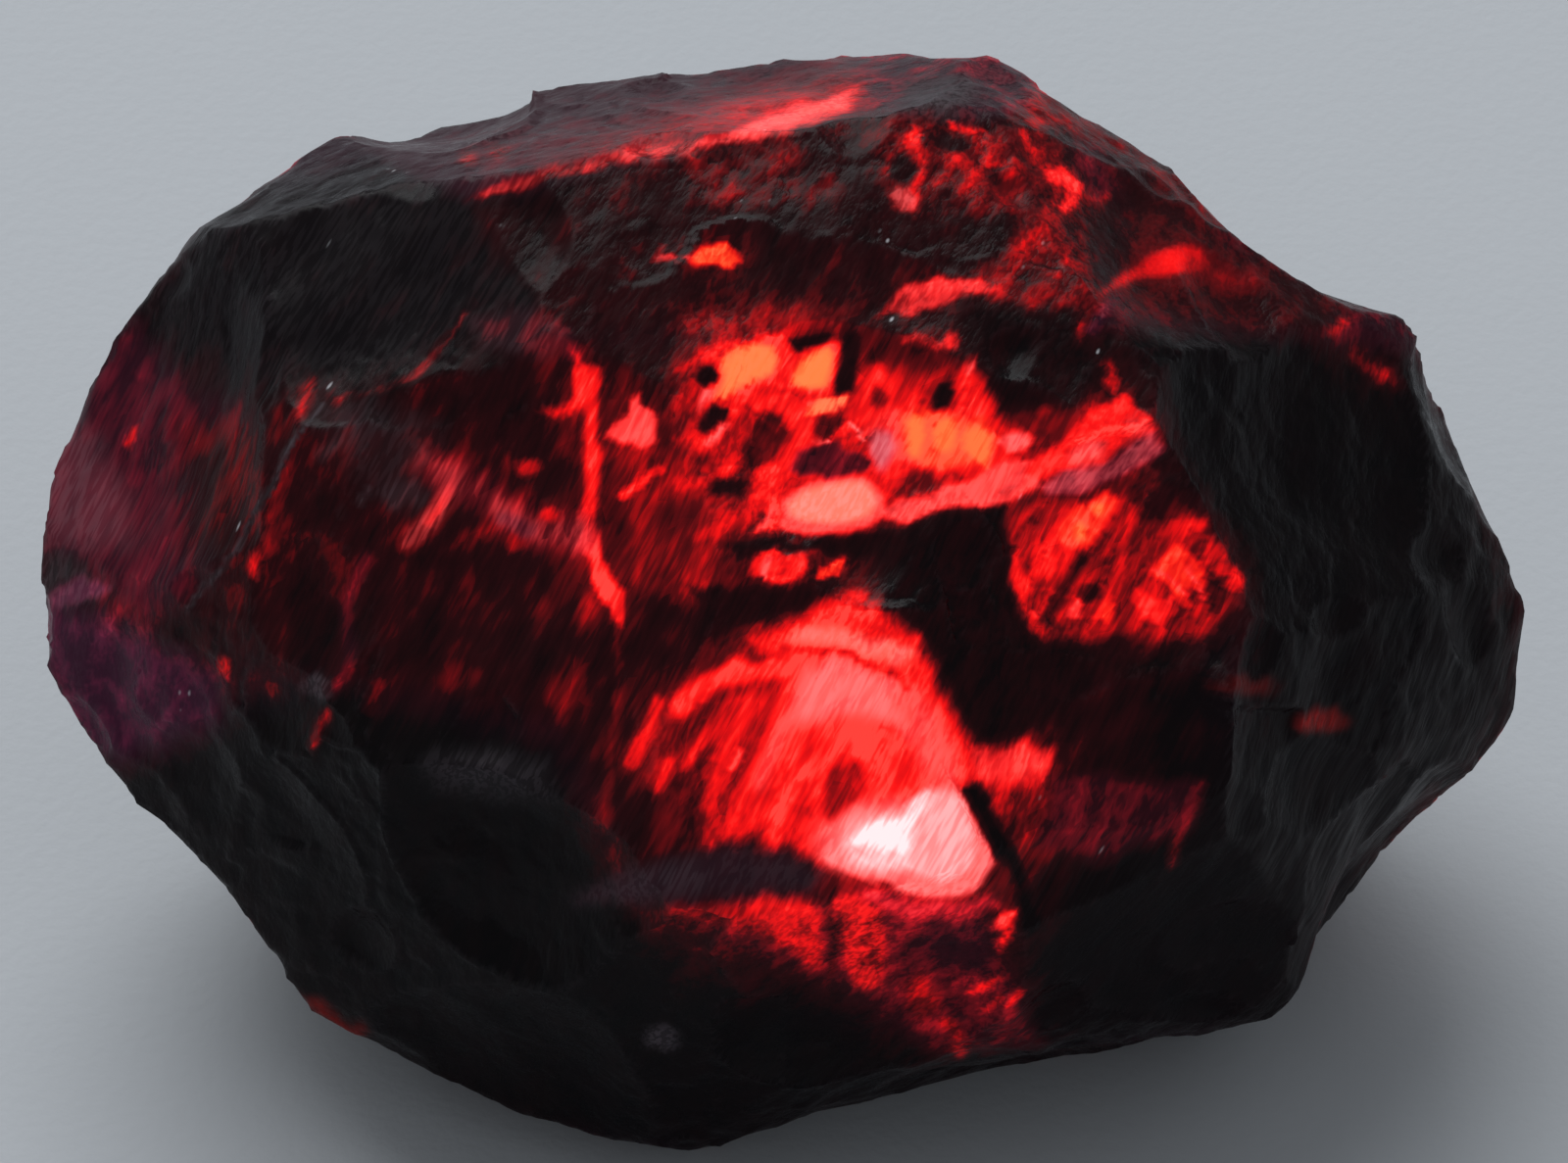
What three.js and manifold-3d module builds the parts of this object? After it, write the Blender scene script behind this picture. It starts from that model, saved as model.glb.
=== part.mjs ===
// Rough painite: one broken lump of deep red gem crystal, as it comes out of the gravel.
//
// The lump is a convex body spanned by its corner points, roughened, with the chips and shell-shaped
// scars of old breaks cut out of it. Lengths are millimetres. Two frames are used:
//   - the face frame: u to the right across the broad face, v up it, w out of it;
//   - the part's own frame: +Z up, standing on the flat break at Z = 0, the face tipped back from -Y.

import * as THREE from 'three';
import { ConvexGeometry } from 'three/addons/geometries/ConvexGeometry.js';
import { TessellateModifier } from 'three/addons/modifiers/TessellateModifier.js';
import { ImprovedNoise } from 'three/addons/math/ImprovedNoise.js';
import { mergeVertices } from 'three/addons/utils/BufferGeometryUtils.js';
import Module from 'manifold-3d';

const wasm = await Module();
wasm.setup();

// ---- Driving dimensions ----

const LENGTH = 22.0; // across the broad face, along X
const FACE_TILT = THREE.MathUtils.degToRad(45); // how far the broad face leans back
const FACE_HEIGHT = 6.5; // the face frame's origin above the resting break
const SKIN_STEP = 1.25; // longest edge of the roughened skin
const SKIN_ROUGHNESS = 0.16; // how far the skin wanders in and out
const SKIN_WAVE = 2.6; // size of one lump of the skin
const CHIP_STEP = 0.8; // grid of a chip's broken surface
const SCAR_ROUGHNESS = 0.12; // how far that surface wanders up and down
const SCAR_WAVE = 1.7; // size of one lump of it
const RIB_WAVE = 2.2; // from one ripple of a scar to the next
const CHIP_HEIGHT = 14; // tall enough to clear the lump
const GRID_SHUFFLE = 0.6; // how far a grid point may be moved, as a share of the grid

// ---- Corner points ----

// The rim that the broad face is seen against, anticlockwise from the left tip. [u, v, w]
const RIM = [
  [-11.0, -0.9, -0.3], [-10.4, -2.2, -0.2], [-8.7, -4.3, 0.0], [-7.4, -6.0, 0.2], [-6.4, -6.6, 0.3],
  [-4.0, -7.8, 0.5], [-2.6, -8.2, 0.8], [-1.4, -8.35, 1.0], [-0.6, -8.25, 1.0], [4.3, -6.95, 0.8],
  [7.1, -6.45, 0.4], [7.8, -6.0, 0.2], [8.3, -5.2, -0.4], [10.2, -2.7, -1.3], [10.8, -2.0, -1.3],
  [11.0, -0.4, -1.0], [10.5, 0.7, -0.8], [9.6, 3.0, -0.4], [9.25, 3.95, -0.2], [6.4, 5.5, 0.4],
  [4.4, 6.9, 0.2], [3.0, 7.75, -0.2], [2.0, 7.9, -0.5], [1.2, 7.85, -0.8], [-1.5, 7.75, -2.6],
  [-4.1, 7.55, -2.3], [-6.5, 6.7, -1.0], [-8.6, 5.2, 0.3], [-10.2, 3.2, -0.2], [-10.8, 1.6, -0.2],
];

// The corners of the broad face and of the slopes that fall away from it. [u, v, w]
const FACE_CORNERS = [
  [-8.3, 5.2, 1.5], [-4.7, 5.75, 3.4], [-2.0, 6.4, 3.2], [1.25, 7.1, 2.6], [3.2, 6.8, 2.3],
  [4.9, 3.8, 4.1], [-5.1, 3.8, 4.3], [-6.7, 2.6, 3.7], [-8.0, 0.3, 3.1], [-6.8, -1.6, 3.8],
  [-6.0, -2.6, 4.2], [-2.9, -4.5, 5.4], [0.7, -4.3, 6.0], [3.1, -4.5, 5.7], [2.9, -2.7, 5.9],
  [6.2, -2.9, 4.8], [6.9, 0.1, 4.5], [5.7, 2.2, 4.7], [0.0, 3.0, 5.2], [-1.0, 0.0, 5.8],
  [-3.5, -6.4, 3.2], [1.5, -6.3, 4.2], [6.0, -5.0, 3.4],
];

// The corners of the back and of the foot, in the part's own frame. [x, y, z]
const BACK_CORNERS = [
  [-9.4, 2.8, 5.6], [-5.4, 7.0, 6.2], [0.6, 8.1, 5.4], [6.0, 6.8, 6.2], [9.7, 3.0, 5.2],
  [-6.9, 4.4, 9.8], [-2.4, 6.2, 10.6], [3.0, 5.8, 10.2], [7.0, 3.6, 8.8], [-8.6, -0.8, 2.4],
  [8.6, 0.6, 2.0], [3.5, 6.6, 2.2], [-3.4, 6.2, 2.0], [-10.6, 1.3, 4.5], [-10.2, 2.3, 6.3],
  [-9.8, 0.2, 3.4], [10.6, 2.2, 4.5], [9.8, 3.0, 6.2], [9.7, 1.2, 3.3],
];
const FOOT_CORNERS = [
  [-5.8, -2.4], [-3.6, -4.2], [-1.4, -4.9], [1.2, -3.8], [4.4, -2.75], [6.6, -2.1],
  [7.1, 0.6], [5.0, 4.4], [-0.8, 5.4], [-5.4, 3.4], [-6.8, 0.4],
];
const FOOT_DEPTH = -0.4; // the foot's corners lie this far below the resting break

// ---- Chips ----

// A chip is one flake broken away, and its scar is a shallow dish: "at" is the deepest point, "out"
// the way it faces, "size" how far it reaches along and across, "bend" the two radii it curves with,
// "turn" its twist about "out" in degrees, and "rib" the height of its shell-like ripples.
function flake(at, out, size, bend, turn, rib) {
  return { at, out, size, bend, turn, rib };
}

// Flakes off the broad face, its slopes and its rim, in the face frame.
const FACE_CHIPS = {
  leftLobe: flake([-8.9, 2.5, 1.1], [-0.72, 0.2, 0.66], [12, 9], [18, 14], 62, 0.03),
  lowerLeftLobe: flake([-9.2, -1.7, 1.15], [-0.7, -0.3, 0.65], [7, 6.5], [8, 7], 20, 0.09),
  leftShoulder: flake([-6.3, 4.3, 2.85], [-0.36, 0.36, 0.86], [11, 8], [24, 20], 30, 0.03),
  middleField: flake([-4.7, 0.6, 4.25], [-0.22, 0.04, 0.97], [10, 10], [32, 30], 10, 0.03),
  upperBand: flake([0.4, 4.5, 4.1], [0.04, 0.36, 0.93], [15, 6.5], [60, 17], 9, 0.03),
  glowBasin: flake([0.7, 2.3, 4.65], [0.06, 0.1, 0.99], [9, 5], [15, 7], -8, 0.08),
  upperRightSlope: flake([6.0, 4.6, 1.9], [0.42, 0.62, 0.66], [10, 6], [12, 9], -35, 0.05),
  upperRightRim: flake([7.2, 4.75, -0.6], [0.48, 0.86, 0.15], [5, 7], [4, 14], 0, 0),
  rightHollow: flake([7.9, 2.0, 1.65], [0.68, 0.2, 0.7], [10, 8], [20, 13], 20, 0.03),
  rightCheek: flake([8.6, -1.3, 1.8], [0.72, -0.14, 0.68], [10, 9], [24, 16], 80, 0.04),
  rightPocket: flake([4.9, 0.1, 4.15], [0.2, 0.05, 0.97], [5.5, 4], [8, 5], 12, 0.08),
  darkWedge: flake([3.7, -1.4, 4.7], [0.3, -0.02, 0.95], [7, 4], [14, 8], -60, 0),
  shellScar: flake([0.2, -2.2, 5.08], [-0.04, -0.02, 0.99], [9, 9], [9, 9], 0, 0.08),
  redFacet: flake([4.7, -3.7, 4.5], [0.34, -0.34, 0.87], [7, 6], [16, 12], -25, 0),
  darkBowl: flake([-4.5, -4.1, 3.6], [-0.32, -0.4, 0.86], [7, 6.5], [6, 5], 30, 0.04),
  leftToe: flake([-7.1, -3.9, 2.0], [-0.62, -0.48, 0.62], [8, 5], [14, 10], -50, 0.05),
  lowerFront: flake([-4.3, -6.6, 1.7], [-0.34, -0.8, 0.5], [13, 6], [40, 20], -14, 0.03),
  frontToe: flake([1.4, -6.2, 3.35], [0.1, -0.72, 0.68], [11, 9], [26, 18], -20, 0.04),
  frontUndercut: flake([3.0, -7.0, 0.3], [0.2, -0.98, 0.05], [9, 6], [16, 12], 0, 0.04),
  rightToe: flake([6.1, -5.0, 2.5], [0.42, -0.64, 0.64], [9, 8], [24, 16], 35, 0.03),
  rightStrip: flake([8.0, -4.2, 1.0], [0.82, -0.42, 0.4], [6, 5], [12, 8], 70, 0.04),
  rightNotch: flake([8.85, -3.6, -0.5], [0.72, -0.66, 0.2], [6, 8], [3.2, 12], 0, 0.04),
  rightRimNick: flake([9.55, 2.7, -0.5], [0.95, 0.2, 0.2], [3, 6], [2.6, 9], 90, 0),
  leftRimNick: flake([-10.8, 0.5, 0.2], [-0.93, 0.1, 0.36], [3, 5], [2, 7], 80, 0),
  topTerrace: flake([-1.6, 7.3, 0.1], [0.0, 0.95, 0.3], [8.5, 9], [24, 40], 0, 0.03),
  shoulderCleft: flake([-5.8, 6.5, -1.0], [0.1, 0.98, 0.15], [4, 10], [2.4, 16], 0, 0),
};

// Flakes off the back and the underside, in the part's own frame.
const BACK_CHIPS = {
  backHollow: flake([-1.2, 6.7, 7.6], [-0.1, 0.93, 0.35], [11, 8], [14, 11], 15, 0.09),
  backRight: flake([6.4, 4.9, 6.6], [0.6, 0.75, 0.25], [9, 8], [13, 15], 40, 0.07),
  backLeft: flake([-7.5, 4.6, 5.6], [-0.72, 0.68, 0], [9, 8], [12, 14], -20, 0.07),
  backFoot: flake([1.4, 6.1, 2.4], [0.1, 0.85, -0.5], [11, 6], [16, 12], 5, 0.06),
  backLeftFoot: flake([-5.6, 4.7, 2.4], [-0.5, 0.6, -0.6], [8, 6], [12, 9], 20, 0.05),
  backMiddle: flake([3.2, 7.2, 5.0], [0.2, 0.97, 0.1], [7, 6], [9, 8], -25, 0.06),
  leftUnderside: flake([-8.0, -0.8, 2.5], [-0.66, -0.3, -0.7], [9, 7], [14, 12], 0, 0.05),
  rightUnderside: flake([8.1, 0.9, 2.2], [0.7, 0.1, -0.7], [9, 7], [12, 14], 0, 0.05),
};

// ---- Shapes ----

const noise = new ImprovedNoise();

// A closed geometry as a manifold-3d solid: only its shared, merged positions count.
function solidOf(geometry) {
  const bare = new THREE.BufferGeometry();
  bare.setAttribute('position', geometry.getAttribute('position'));
  if (geometry.index) bare.setIndex(geometry.index);
  const merged = mergeVertices(bare, 1e-4);
  return new wasm.Manifold(
    new wasm.Mesh({
      numProp: 3,
      vertProperties: merged.attributes.position.array,
      triVerts: new Uint32Array(merged.index.array),
    }),
  );
}

function geometryOf(solid) {
  const mesh = solid.getMesh();
  const geometry = new THREE.BufferGeometry();
  geometry.setAttribute('position', new THREE.BufferAttribute(mesh.vertProperties, 3));
  geometry.setIndex(new THREE.BufferAttribute(mesh.triVerts, 1));
  return geometry;
}

// Every corner point in the part's own frame.
function cornerPoints() {
  const fromFace = [...RIM, ...FACE_CORNERS].map((corner) => faceToPart(new THREE.Vector3(...corner)));
  const fromBack = BACK_CORNERS.map((corner) => new THREE.Vector3(...corner));
  const fromFoot = FOOT_CORNERS.map(([x, y]) => new THREE.Vector3(x, y, FOOT_DEPTH));
  return [...fromFace, ...fromBack, ...fromFoot];
}

// A point of the face frame, tipped back about X and lifted into the part's own frame.
function faceToPart(point) {
  const lift = new THREE.Vector3(0, 0, FACE_HEIGHT);
  return point.applyAxisAngle(new THREE.Vector3(1, 0, 0), FACE_TILT).add(lift);
}

// The unbroken lump: the corners' hull, in small triangles, its skin pushed in and out along the radius.
function lump() {
  const hull = new ConvexGeometry(cornerPoints());
  hull.deleteAttribute('normal');
  const skin = mergeVertices(new TessellateModifier(SKIN_STEP, 12).modify(hull), 1e-4);
  const position = skin.getAttribute('position');
  const centre = new THREE.Vector3(0, 0, FACE_HEIGHT);
  const point = new THREE.Vector3();
  for (let i = 0; i < position.count; i++) {
    point.fromBufferAttribute(position, i).sub(centre);
    const { x, y, z } = point.clone().divideScalar(SKIN_WAVE);
    point.setLength(point.length() + SKIN_ROUGHNESS * noise.noise(x, y, z)).add(centre);
    position.setXYZ(i, point.x, point.y, point.z);
  }
  return solidOf(skin);
}

// How high a scar's surface stands above its deepest point, at (x, y) along and across it.
function scarHeight({ at, bend, rib }, x, y) {
  const dish = (x * x) / (2 * bend[0]) + (y * y) / (2 * bend[1]);
  const ripples = rib * Math.cos((2 * Math.PI * Math.hypot(x, y)) / RIB_WAVE);
  const rough = SCAR_ROUGHNESS * noise.noise(x / SCAR_WAVE + at[0], y / SCAR_WAVE + at[1], at[2]);
  return dish + ripples + rough;
}

// A grid point moved a little along and across, so that a scar's triangles don't fall in rows. The
// points on the block's edge stay, because its walls stand on them.
function shuffled(x, y, [along, across]) {
  const edge = Math.min(along / 2 - Math.abs(x), across / 2 - Math.abs(y));
  const reach = edge > CHIP_STEP / 2 ? GRID_SHUFFLE * CHIP_STEP : 0;
  const wave = CHIP_STEP / 2.5;
  const dx = reach * noise.noise(x / wave, y / wave, 0.5);
  const dy = reach * noise.noise(x / wave, y / wave, 9.5);
  return [x + dx, y + dy];
}

// The solid that takes one flake away: a block whose underside is the scar.
function chip(spec) {
  const [along, across] = spec.size;
  const cells = [Math.round(along / CHIP_STEP), Math.round(across / CHIP_STEP)];
  const block = new THREE.BoxGeometry(along, across, CHIP_HEIGHT, cells[0], cells[1], 1);
  block.translate(0, 0, CHIP_HEIGHT / 2);
  const position = block.getAttribute('position');
  for (let i = 0; i < position.count; i++) {
    if (position.getZ(i) > CHIP_HEIGHT / 2) continue;
    const [x, y] = shuffled(position.getX(i), position.getY(i), spec.size);
    position.setXYZ(i, x, y, scarHeight(spec, x, y));
  }
  block.rotateZ(THREE.MathUtils.degToRad(spec.turn));
  const out = new THREE.Vector3(...spec.out).normalize();
  block.applyQuaternion(new THREE.Quaternion().setFromUnitVectors(new THREE.Vector3(0, 0, 1), out));
  return block.translate(...spec.at);
}

function faceChip(spec) {
  return solidOf(chip(spec).rotateX(FACE_TILT).translate(0, 0, FACE_HEIGHT));
}

// What lies below the flat break that the stone rests on.
function ground() {
  const side = 3 * LENGTH;
  return solidOf(new THREE.BoxGeometry(side, side, LENGTH).translate(0, 0, -LENGTH / 2));
}

function roughStone() {
  let solid = lump();
  for (const spec of Object.values(FACE_CHIPS)) solid = solid.subtract(faceChip(spec));
  for (const spec of Object.values(BACK_CHIPS)) solid = solid.subtract(solidOf(chip(spec)));
  return geometryOf(centred(solid.subtract(ground())));
}

// The solid moved so that its outer size is shared evenly about X = 0 and Y = 0.
function centred(solid) {
  const { min, max } = solid.boundingBox();
  return solid.translate([-(min[0] + max[0]) / 2, -(min[1] + max[1]) / 2, 0]);
}

// ---- The object ----

const deepRed = new THREE.MeshStandardMaterial({ color: 0x5a0a14, roughness: 0.25, metalness: 0 });
const stone = new THREE.Mesh(roughStone(), deepRed);
stone.name = 'painite_rough';

const part = new THREE.Group();
part.add(stone);

export default part;
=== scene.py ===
# %% [markdown]
# # A rough painite, glowing from within
#
# Painite is a rare gem crystal, so deep a red that a piece looks black until light gets behind it.
# This one is a single broken lump. Its outside is the sum of old breaks: shallow shell-shaped scars
# that meet in ridges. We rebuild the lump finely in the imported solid's place, then paint where the
# light comes through it.

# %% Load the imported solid
import math

import bmesh
import bpy
import numpy as np
from mathutils import Matrix, Vector


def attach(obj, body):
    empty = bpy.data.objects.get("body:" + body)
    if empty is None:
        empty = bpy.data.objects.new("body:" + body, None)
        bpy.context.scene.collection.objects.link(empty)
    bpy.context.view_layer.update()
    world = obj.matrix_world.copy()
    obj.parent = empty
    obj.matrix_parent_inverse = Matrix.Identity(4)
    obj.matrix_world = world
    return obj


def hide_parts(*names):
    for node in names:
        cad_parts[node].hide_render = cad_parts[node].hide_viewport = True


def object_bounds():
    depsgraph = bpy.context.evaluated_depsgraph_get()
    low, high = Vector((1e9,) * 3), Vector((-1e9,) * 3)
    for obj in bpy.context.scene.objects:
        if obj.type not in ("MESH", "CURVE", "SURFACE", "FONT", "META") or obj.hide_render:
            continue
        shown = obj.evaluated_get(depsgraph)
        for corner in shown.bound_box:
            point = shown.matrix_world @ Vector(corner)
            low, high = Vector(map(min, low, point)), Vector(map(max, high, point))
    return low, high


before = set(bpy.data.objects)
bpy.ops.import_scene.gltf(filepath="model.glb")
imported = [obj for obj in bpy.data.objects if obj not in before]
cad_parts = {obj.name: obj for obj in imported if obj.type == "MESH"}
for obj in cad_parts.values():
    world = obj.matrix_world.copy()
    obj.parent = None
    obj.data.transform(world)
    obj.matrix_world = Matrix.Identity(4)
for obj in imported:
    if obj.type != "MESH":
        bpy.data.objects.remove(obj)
cad_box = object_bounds()
MM = 0.001
print("solid's box, mm:", [[round(c / MM, 2) for c in corner] for corner in cad_box])

# %% [markdown]
# ## Two frames
#
# The broad face leans back 45 degrees, so its features are easiest to place in a frame of its own:
# u to the right across the face, v up it and w out of it, in millimetres. Everything else uses the
# part's frame, with +Z up. One matrix takes us from the first to the second.

# %% The face frame
FACE_TILT = math.radians(45)
FACE_HEIGHT = 6.5
FACE_AXES = np.array(Matrix.Rotation(FACE_TILT, 3, "X"))


def face_to_part(points):
    return np.asarray(points, float) @ FACE_AXES.T + (0, 0, FACE_HEIGHT)


def part_to_face(points):
    return (points - (0, 0, FACE_HEIGHT)) @ FACE_AXES


print("the broad face looks along", FACE_AXES[:, 2].round(2))

# %% [markdown]
# ## The unbroken lump
#
# The lump is the convex hull of listed corners. A hull is the same thing as a set of flat cuts,
# and that is the form we want: to find the skin in any direction from the middle, we follow a ray
# until it meets the nearest cut.

# %% Corners of the lump, in millimetres
RIM = [  # the rim that the broad face is seen against, anticlockwise from the left tip: u, v, w
    (-11.0, -0.9, -0.3), (-10.4, -2.2, -0.2), (-8.7, -4.3, 0.0), (-7.4, -6.0, 0.2), (-6.4, -6.6, 0.3),
    (-4.0, -7.8, 0.5), (-2.6, -8.2, 0.8), (-1.4, -8.35, 1.0), (-0.6, -8.25, 1.0), (4.3, -6.95, 0.8),
    (7.1, -6.45, 0.4), (7.8, -6.0, 0.2), (8.3, -5.2, -0.4), (10.2, -2.7, -1.3), (10.8, -2.0, -1.3),
    (11.0, -0.4, -1.0), (10.5, 0.7, -0.8), (9.6, 3.0, -0.4), (9.25, 3.95, -0.2), (6.4, 5.5, 0.4),
    (4.4, 6.9, 0.2), (3.0, 7.75, -0.2), (2.0, 7.9, -0.5), (1.2, 7.85, -0.8), (-1.5, 7.75, -2.6),
    (-4.1, 7.55, -2.3), (-6.5, 6.7, -1.0), (-8.6, 5.2, 0.3), (-10.2, 3.2, -0.2), (-10.8, 1.6, -0.2),
]
FACE_CORNERS = [  # the broad face and the slopes that fall away from it: u, v, w
    (-8.3, 5.2, 1.5), (-4.7, 5.75, 3.4), (-2.0, 6.4, 3.2), (1.25, 7.1, 2.6), (3.2, 6.8, 2.3),
    (4.9, 3.8, 4.1), (-5.1, 3.8, 4.3), (-6.7, 2.6, 3.7), (-8.0, 0.3, 3.1), (-6.8, -1.6, 3.8),
    (-6.0, -2.6, 4.2), (-2.9, -4.5, 5.4), (0.7, -4.3, 6.0), (3.1, -4.5, 5.7), (2.9, -2.7, 5.9),
    (6.2, -2.9, 4.8), (6.9, 0.1, 4.5), (5.7, 2.2, 4.7), (0.0, 3.0, 5.2), (-1.0, 0.0, 5.8),
    (-3.5, -6.4, 3.2), (1.5, -6.3, 4.2), (6.0, -5.0, 3.4),
]
BACK_CORNERS = [  # the back and the tips, in the part's frame: x, y, z
    (-9.4, 2.8, 5.6), (-5.4, 7.0, 6.2), (0.6, 8.1, 5.4), (6.0, 6.8, 6.2), (9.7, 3.0, 5.2),
    (-6.9, 4.4, 9.8), (-2.4, 6.2, 10.6), (3.0, 5.8, 10.2), (7.0, 3.6, 8.8), (-8.6, -0.8, 2.4),
    (8.6, 0.6, 2.0), (3.5, 6.6, 2.2), (-3.4, 6.2, 2.0), (-10.6, 1.3, 4.5), (-10.2, 2.3, 6.3),
    (-9.8, 0.2, 3.4), (10.6, 2.2, 4.5), (9.8, 3.0, 6.2), (9.7, 1.2, 3.3),
]
FOOT_CORNERS = [  # the foot that the stone stands on: x, y
    (-5.8, -2.4), (-3.6, -4.2), (-1.4, -4.9), (1.2, -3.8), (4.4, -2.75), (6.6, -2.1),
    (7.1, 0.6), (5.0, 4.4), (-0.8, 5.4), (-5.4, 3.4), (-6.8, 0.4),
]
FOOT_DEPTH = -0.4


def lump_corners():
    foot = [(x, y, FOOT_DEPTH) for x, y in FOOT_CORNERS]
    return np.vstack([face_to_part(RIM), face_to_part(FACE_CORNERS), BACK_CORNERS, foot])


def hull_cuts(corners):
    """The hull's flat sides as outward normals and distances from the lump's middle."""
    mesh = bmesh.new()
    for corner in corners - MIDDLE:
        mesh.verts.new(corner)
    bmesh.ops.convex_hull(mesh, input=mesh.verts)
    mesh.normal_update()
    cuts = {}
    for face in mesh.faces:
        distance = face.normal.dot(face.verts[0].co)
        sign = 1 if distance > 0 else -1
        key = tuple(round(sign * c, 3) for c in face.normal)
        cuts[key] = (sign * np.array(face.normal), sign * distance)
    mesh.free()
    normals, distances = zip(*cuts.values())
    return np.array(normals), np.array(distances)


MIDDLE = np.array([0.0, 0.0, FACE_HEIGHT])
side_normals, side_distances = hull_cuts(lump_corners())
print("flat sides of the unbroken lump:", len(side_distances))

# %% [markdown]
# ## The old breaks
#
# A glassy crystal breaks in scars like the inside of a shell. Each one here is a shallow dish: where
# its deepest point is, the way it faces, how far it reaches, the two radii it curves with, its twist,
# and the height of its ripples. A last number, where there is one, says how hackly the break is.

# %% Flakes that broke away, in millimetres
def flake(at, out, size, bend, turn, rib, hackle=0.02):
    return {"at": np.array(at), "out": Vector(out).normalized(), "size": size, "bend": bend,
            "turn": math.radians(turn), "rib": rib, "hackle": hackle}


FACE_CHIPS = {
    "left lobe": flake((-8.9, 2.5, 1.1), (-0.72, 0.2, 0.66), (12, 9), (18, 14), 62, 0.03),
    "lower left lobe": flake((-9.2, -1.7, 1.15), (-0.7, -0.3, 0.65), (7, 6.5), (8, 7), 20, 0.09),
    "left shoulder": flake((-6.3, 4.3, 2.85), (-0.36, 0.36, 0.86), (11, 8), (24, 20), 30, 0.03, 0.01),
    "middle field": flake((-4.7, 0.6, 4.25), (-0.22, 0.04, 0.97), (10, 10), (32, 30), 10, 0.03, 0.01),
    "upper band": flake((0.4, 4.5, 4.1), (0.04, 0.36, 0.93), (15, 6.5), (60, 17), 9, 0.03, 0.006),
    "glow basin": flake((0.7, 2.3, 4.65), (0.06, 0.1, 0.99), (9, 5), (15, 7), -8, 0.08, 0.04),
    "upper right slope": flake((6.0, 4.6, 1.9), (0.42, 0.62, 0.66), (10, 6), (12, 9), -35, 0.05, 0.01),
    "upper right rim": flake((7.2, 4.75, -0.6), (0.48, 0.86, 0.15), (5, 7), (4, 14), 0, 0),
    "right hollow": flake((7.9, 2.0, 1.65), (0.68, 0.2, 0.7), (10, 8), (20, 13), 20, 0.03),
    "right cheek": flake((8.6, -1.3, 1.8), (0.72, -0.14, 0.68), (10, 9), (24, 16), 80, 0.04),
    "right pocket": flake((4.9, 0.1, 4.15), (0.2, 0.05, 0.97), (5.5, 4), (8, 5), 12, 0.08, 0.06),
    "dark wedge": flake((3.7, -1.4, 4.7), (0.3, -0.02, 0.95), (7, 4), (14, 8), -60, 0),
    "shell scar": flake((0.2, -2.2, 5.08), (-0.04, -0.02, 0.99), (9, 9), (9, 9), 0, 0.08),
    "red facet": flake((4.7, -3.7, 4.5), (0.34, -0.34, 0.87), (7, 6), (16, 12), -25, 0),
    "dark bowl": flake((-4.5, -4.1, 3.6), (-0.32, -0.4, 0.86), (7, 6.5), (6, 5), 30, 0.04),
    "left toe": flake((-7.1, -3.9, 2.0), (-0.62, -0.48, 0.62), (8, 5), (14, 10), -50, 0.05),
    "lower front": flake((-4.3, -6.6, 1.7), (-0.34, -0.8, 0.5), (13, 6), (40, 20), -14, 0.03),
    "front toe": flake((1.4, -6.2, 3.35), (0.1, -0.72, 0.68), (11, 9), (26, 18), -20, 0.04),
    "front undercut": flake((3.0, -7.0, 0.3), (0.2, -0.98, 0.05), (9, 6), (16, 12), 0, 0.04),
    "right toe": flake((6.1, -5.0, 2.5), (0.42, -0.64, 0.64), (9, 8), (24, 16), 35, 0.03),
    "right strip": flake((8.0, -4.2, 1.0), (0.82, -0.42, 0.4), (6, 5), (12, 8), 70, 0.04),
    "right notch": flake((8.85, -3.6, -0.5), (0.72, -0.66, 0.2), (6, 8), (3.2, 12), 0, 0.04),
    "right rim nick": flake((9.55, 2.7, -0.5), (0.95, 0.2, 0.2), (3, 6), (2.6, 9), 90, 0),
    "left rim nick": flake((-10.8, 0.5, 0.2), (-0.93, 0.1, 0.36), (3, 5), (2, 7), 80, 0),
    "top terrace": flake((-1.6, 7.3, 0.1), (0.0, 0.95, 0.3), (8.5, 9), (24, 40), 0, 0.03, 0.01),
    "shoulder cleft": flake((-5.8, 6.5, -1.0), (0.1, 0.98, 0.15), (4, 10), (2.4, 16), 0, 0),
}
BACK_CHIPS = {
    "back hollow": flake((-1.2, 6.7, 7.6), (-0.1, 0.93, 0.35), (11, 8), (14, 11), 15, 0.09),
    "back right": flake((6.4, 4.9, 6.6), (0.6, 0.75, 0.25), (9, 8), (13, 15), 40, 0.07),
    "back left": flake((-7.5, 4.6, 5.6), (-0.72, 0.68, 0), (9, 8), (12, 14), -20, 0.07),
    "back foot": flake((1.4, 6.1, 2.4), (0.1, 0.85, -0.5), (11, 6), (16, 12), 5, 0.06),
    "back left foot": flake((-5.6, 4.7, 2.4), (-0.5, 0.6, -0.6), (8, 6), (12, 9), 20, 0.05),
    "back middle": flake((3.2, 7.2, 5.0), (0.2, 0.97, 0.1), (7, 6), (9, 8), -25, 0.06),
    "left underside": flake((-8.0, -0.8, 2.5), (-0.66, -0.3, -0.7), (9, 7), (14, 12), 0, 0.05),
    "right underside": flake((8.1, 0.9, 2.2), (0.7, 0.1, -0.7), (9, 7), (12, 14), 0, 0.05),
}
print("old breaks:", len(FACE_CHIPS) + len(BACK_CHIPS))

# %% [markdown]
# ## Natural unevenness
#
# No break is perfectly smooth. Gradient noise gives soft swells, and cell noise gives small flat
# facets that tilt at random, which is what makes a hackly break glitter. Blender's own noise gives
# one number at a time, and we need millions, so both are written for whole arrays of points. A fixed
# seed makes the stone the same on every run.

# %% Noise on arrays of points
SEED = 20
GRADIENTS = np.random.default_rng(SEED).normal(size=(256, 3))
GRADIENTS /= np.linalg.norm(GRADIENTS, axis=1, keepdims=True)


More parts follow.
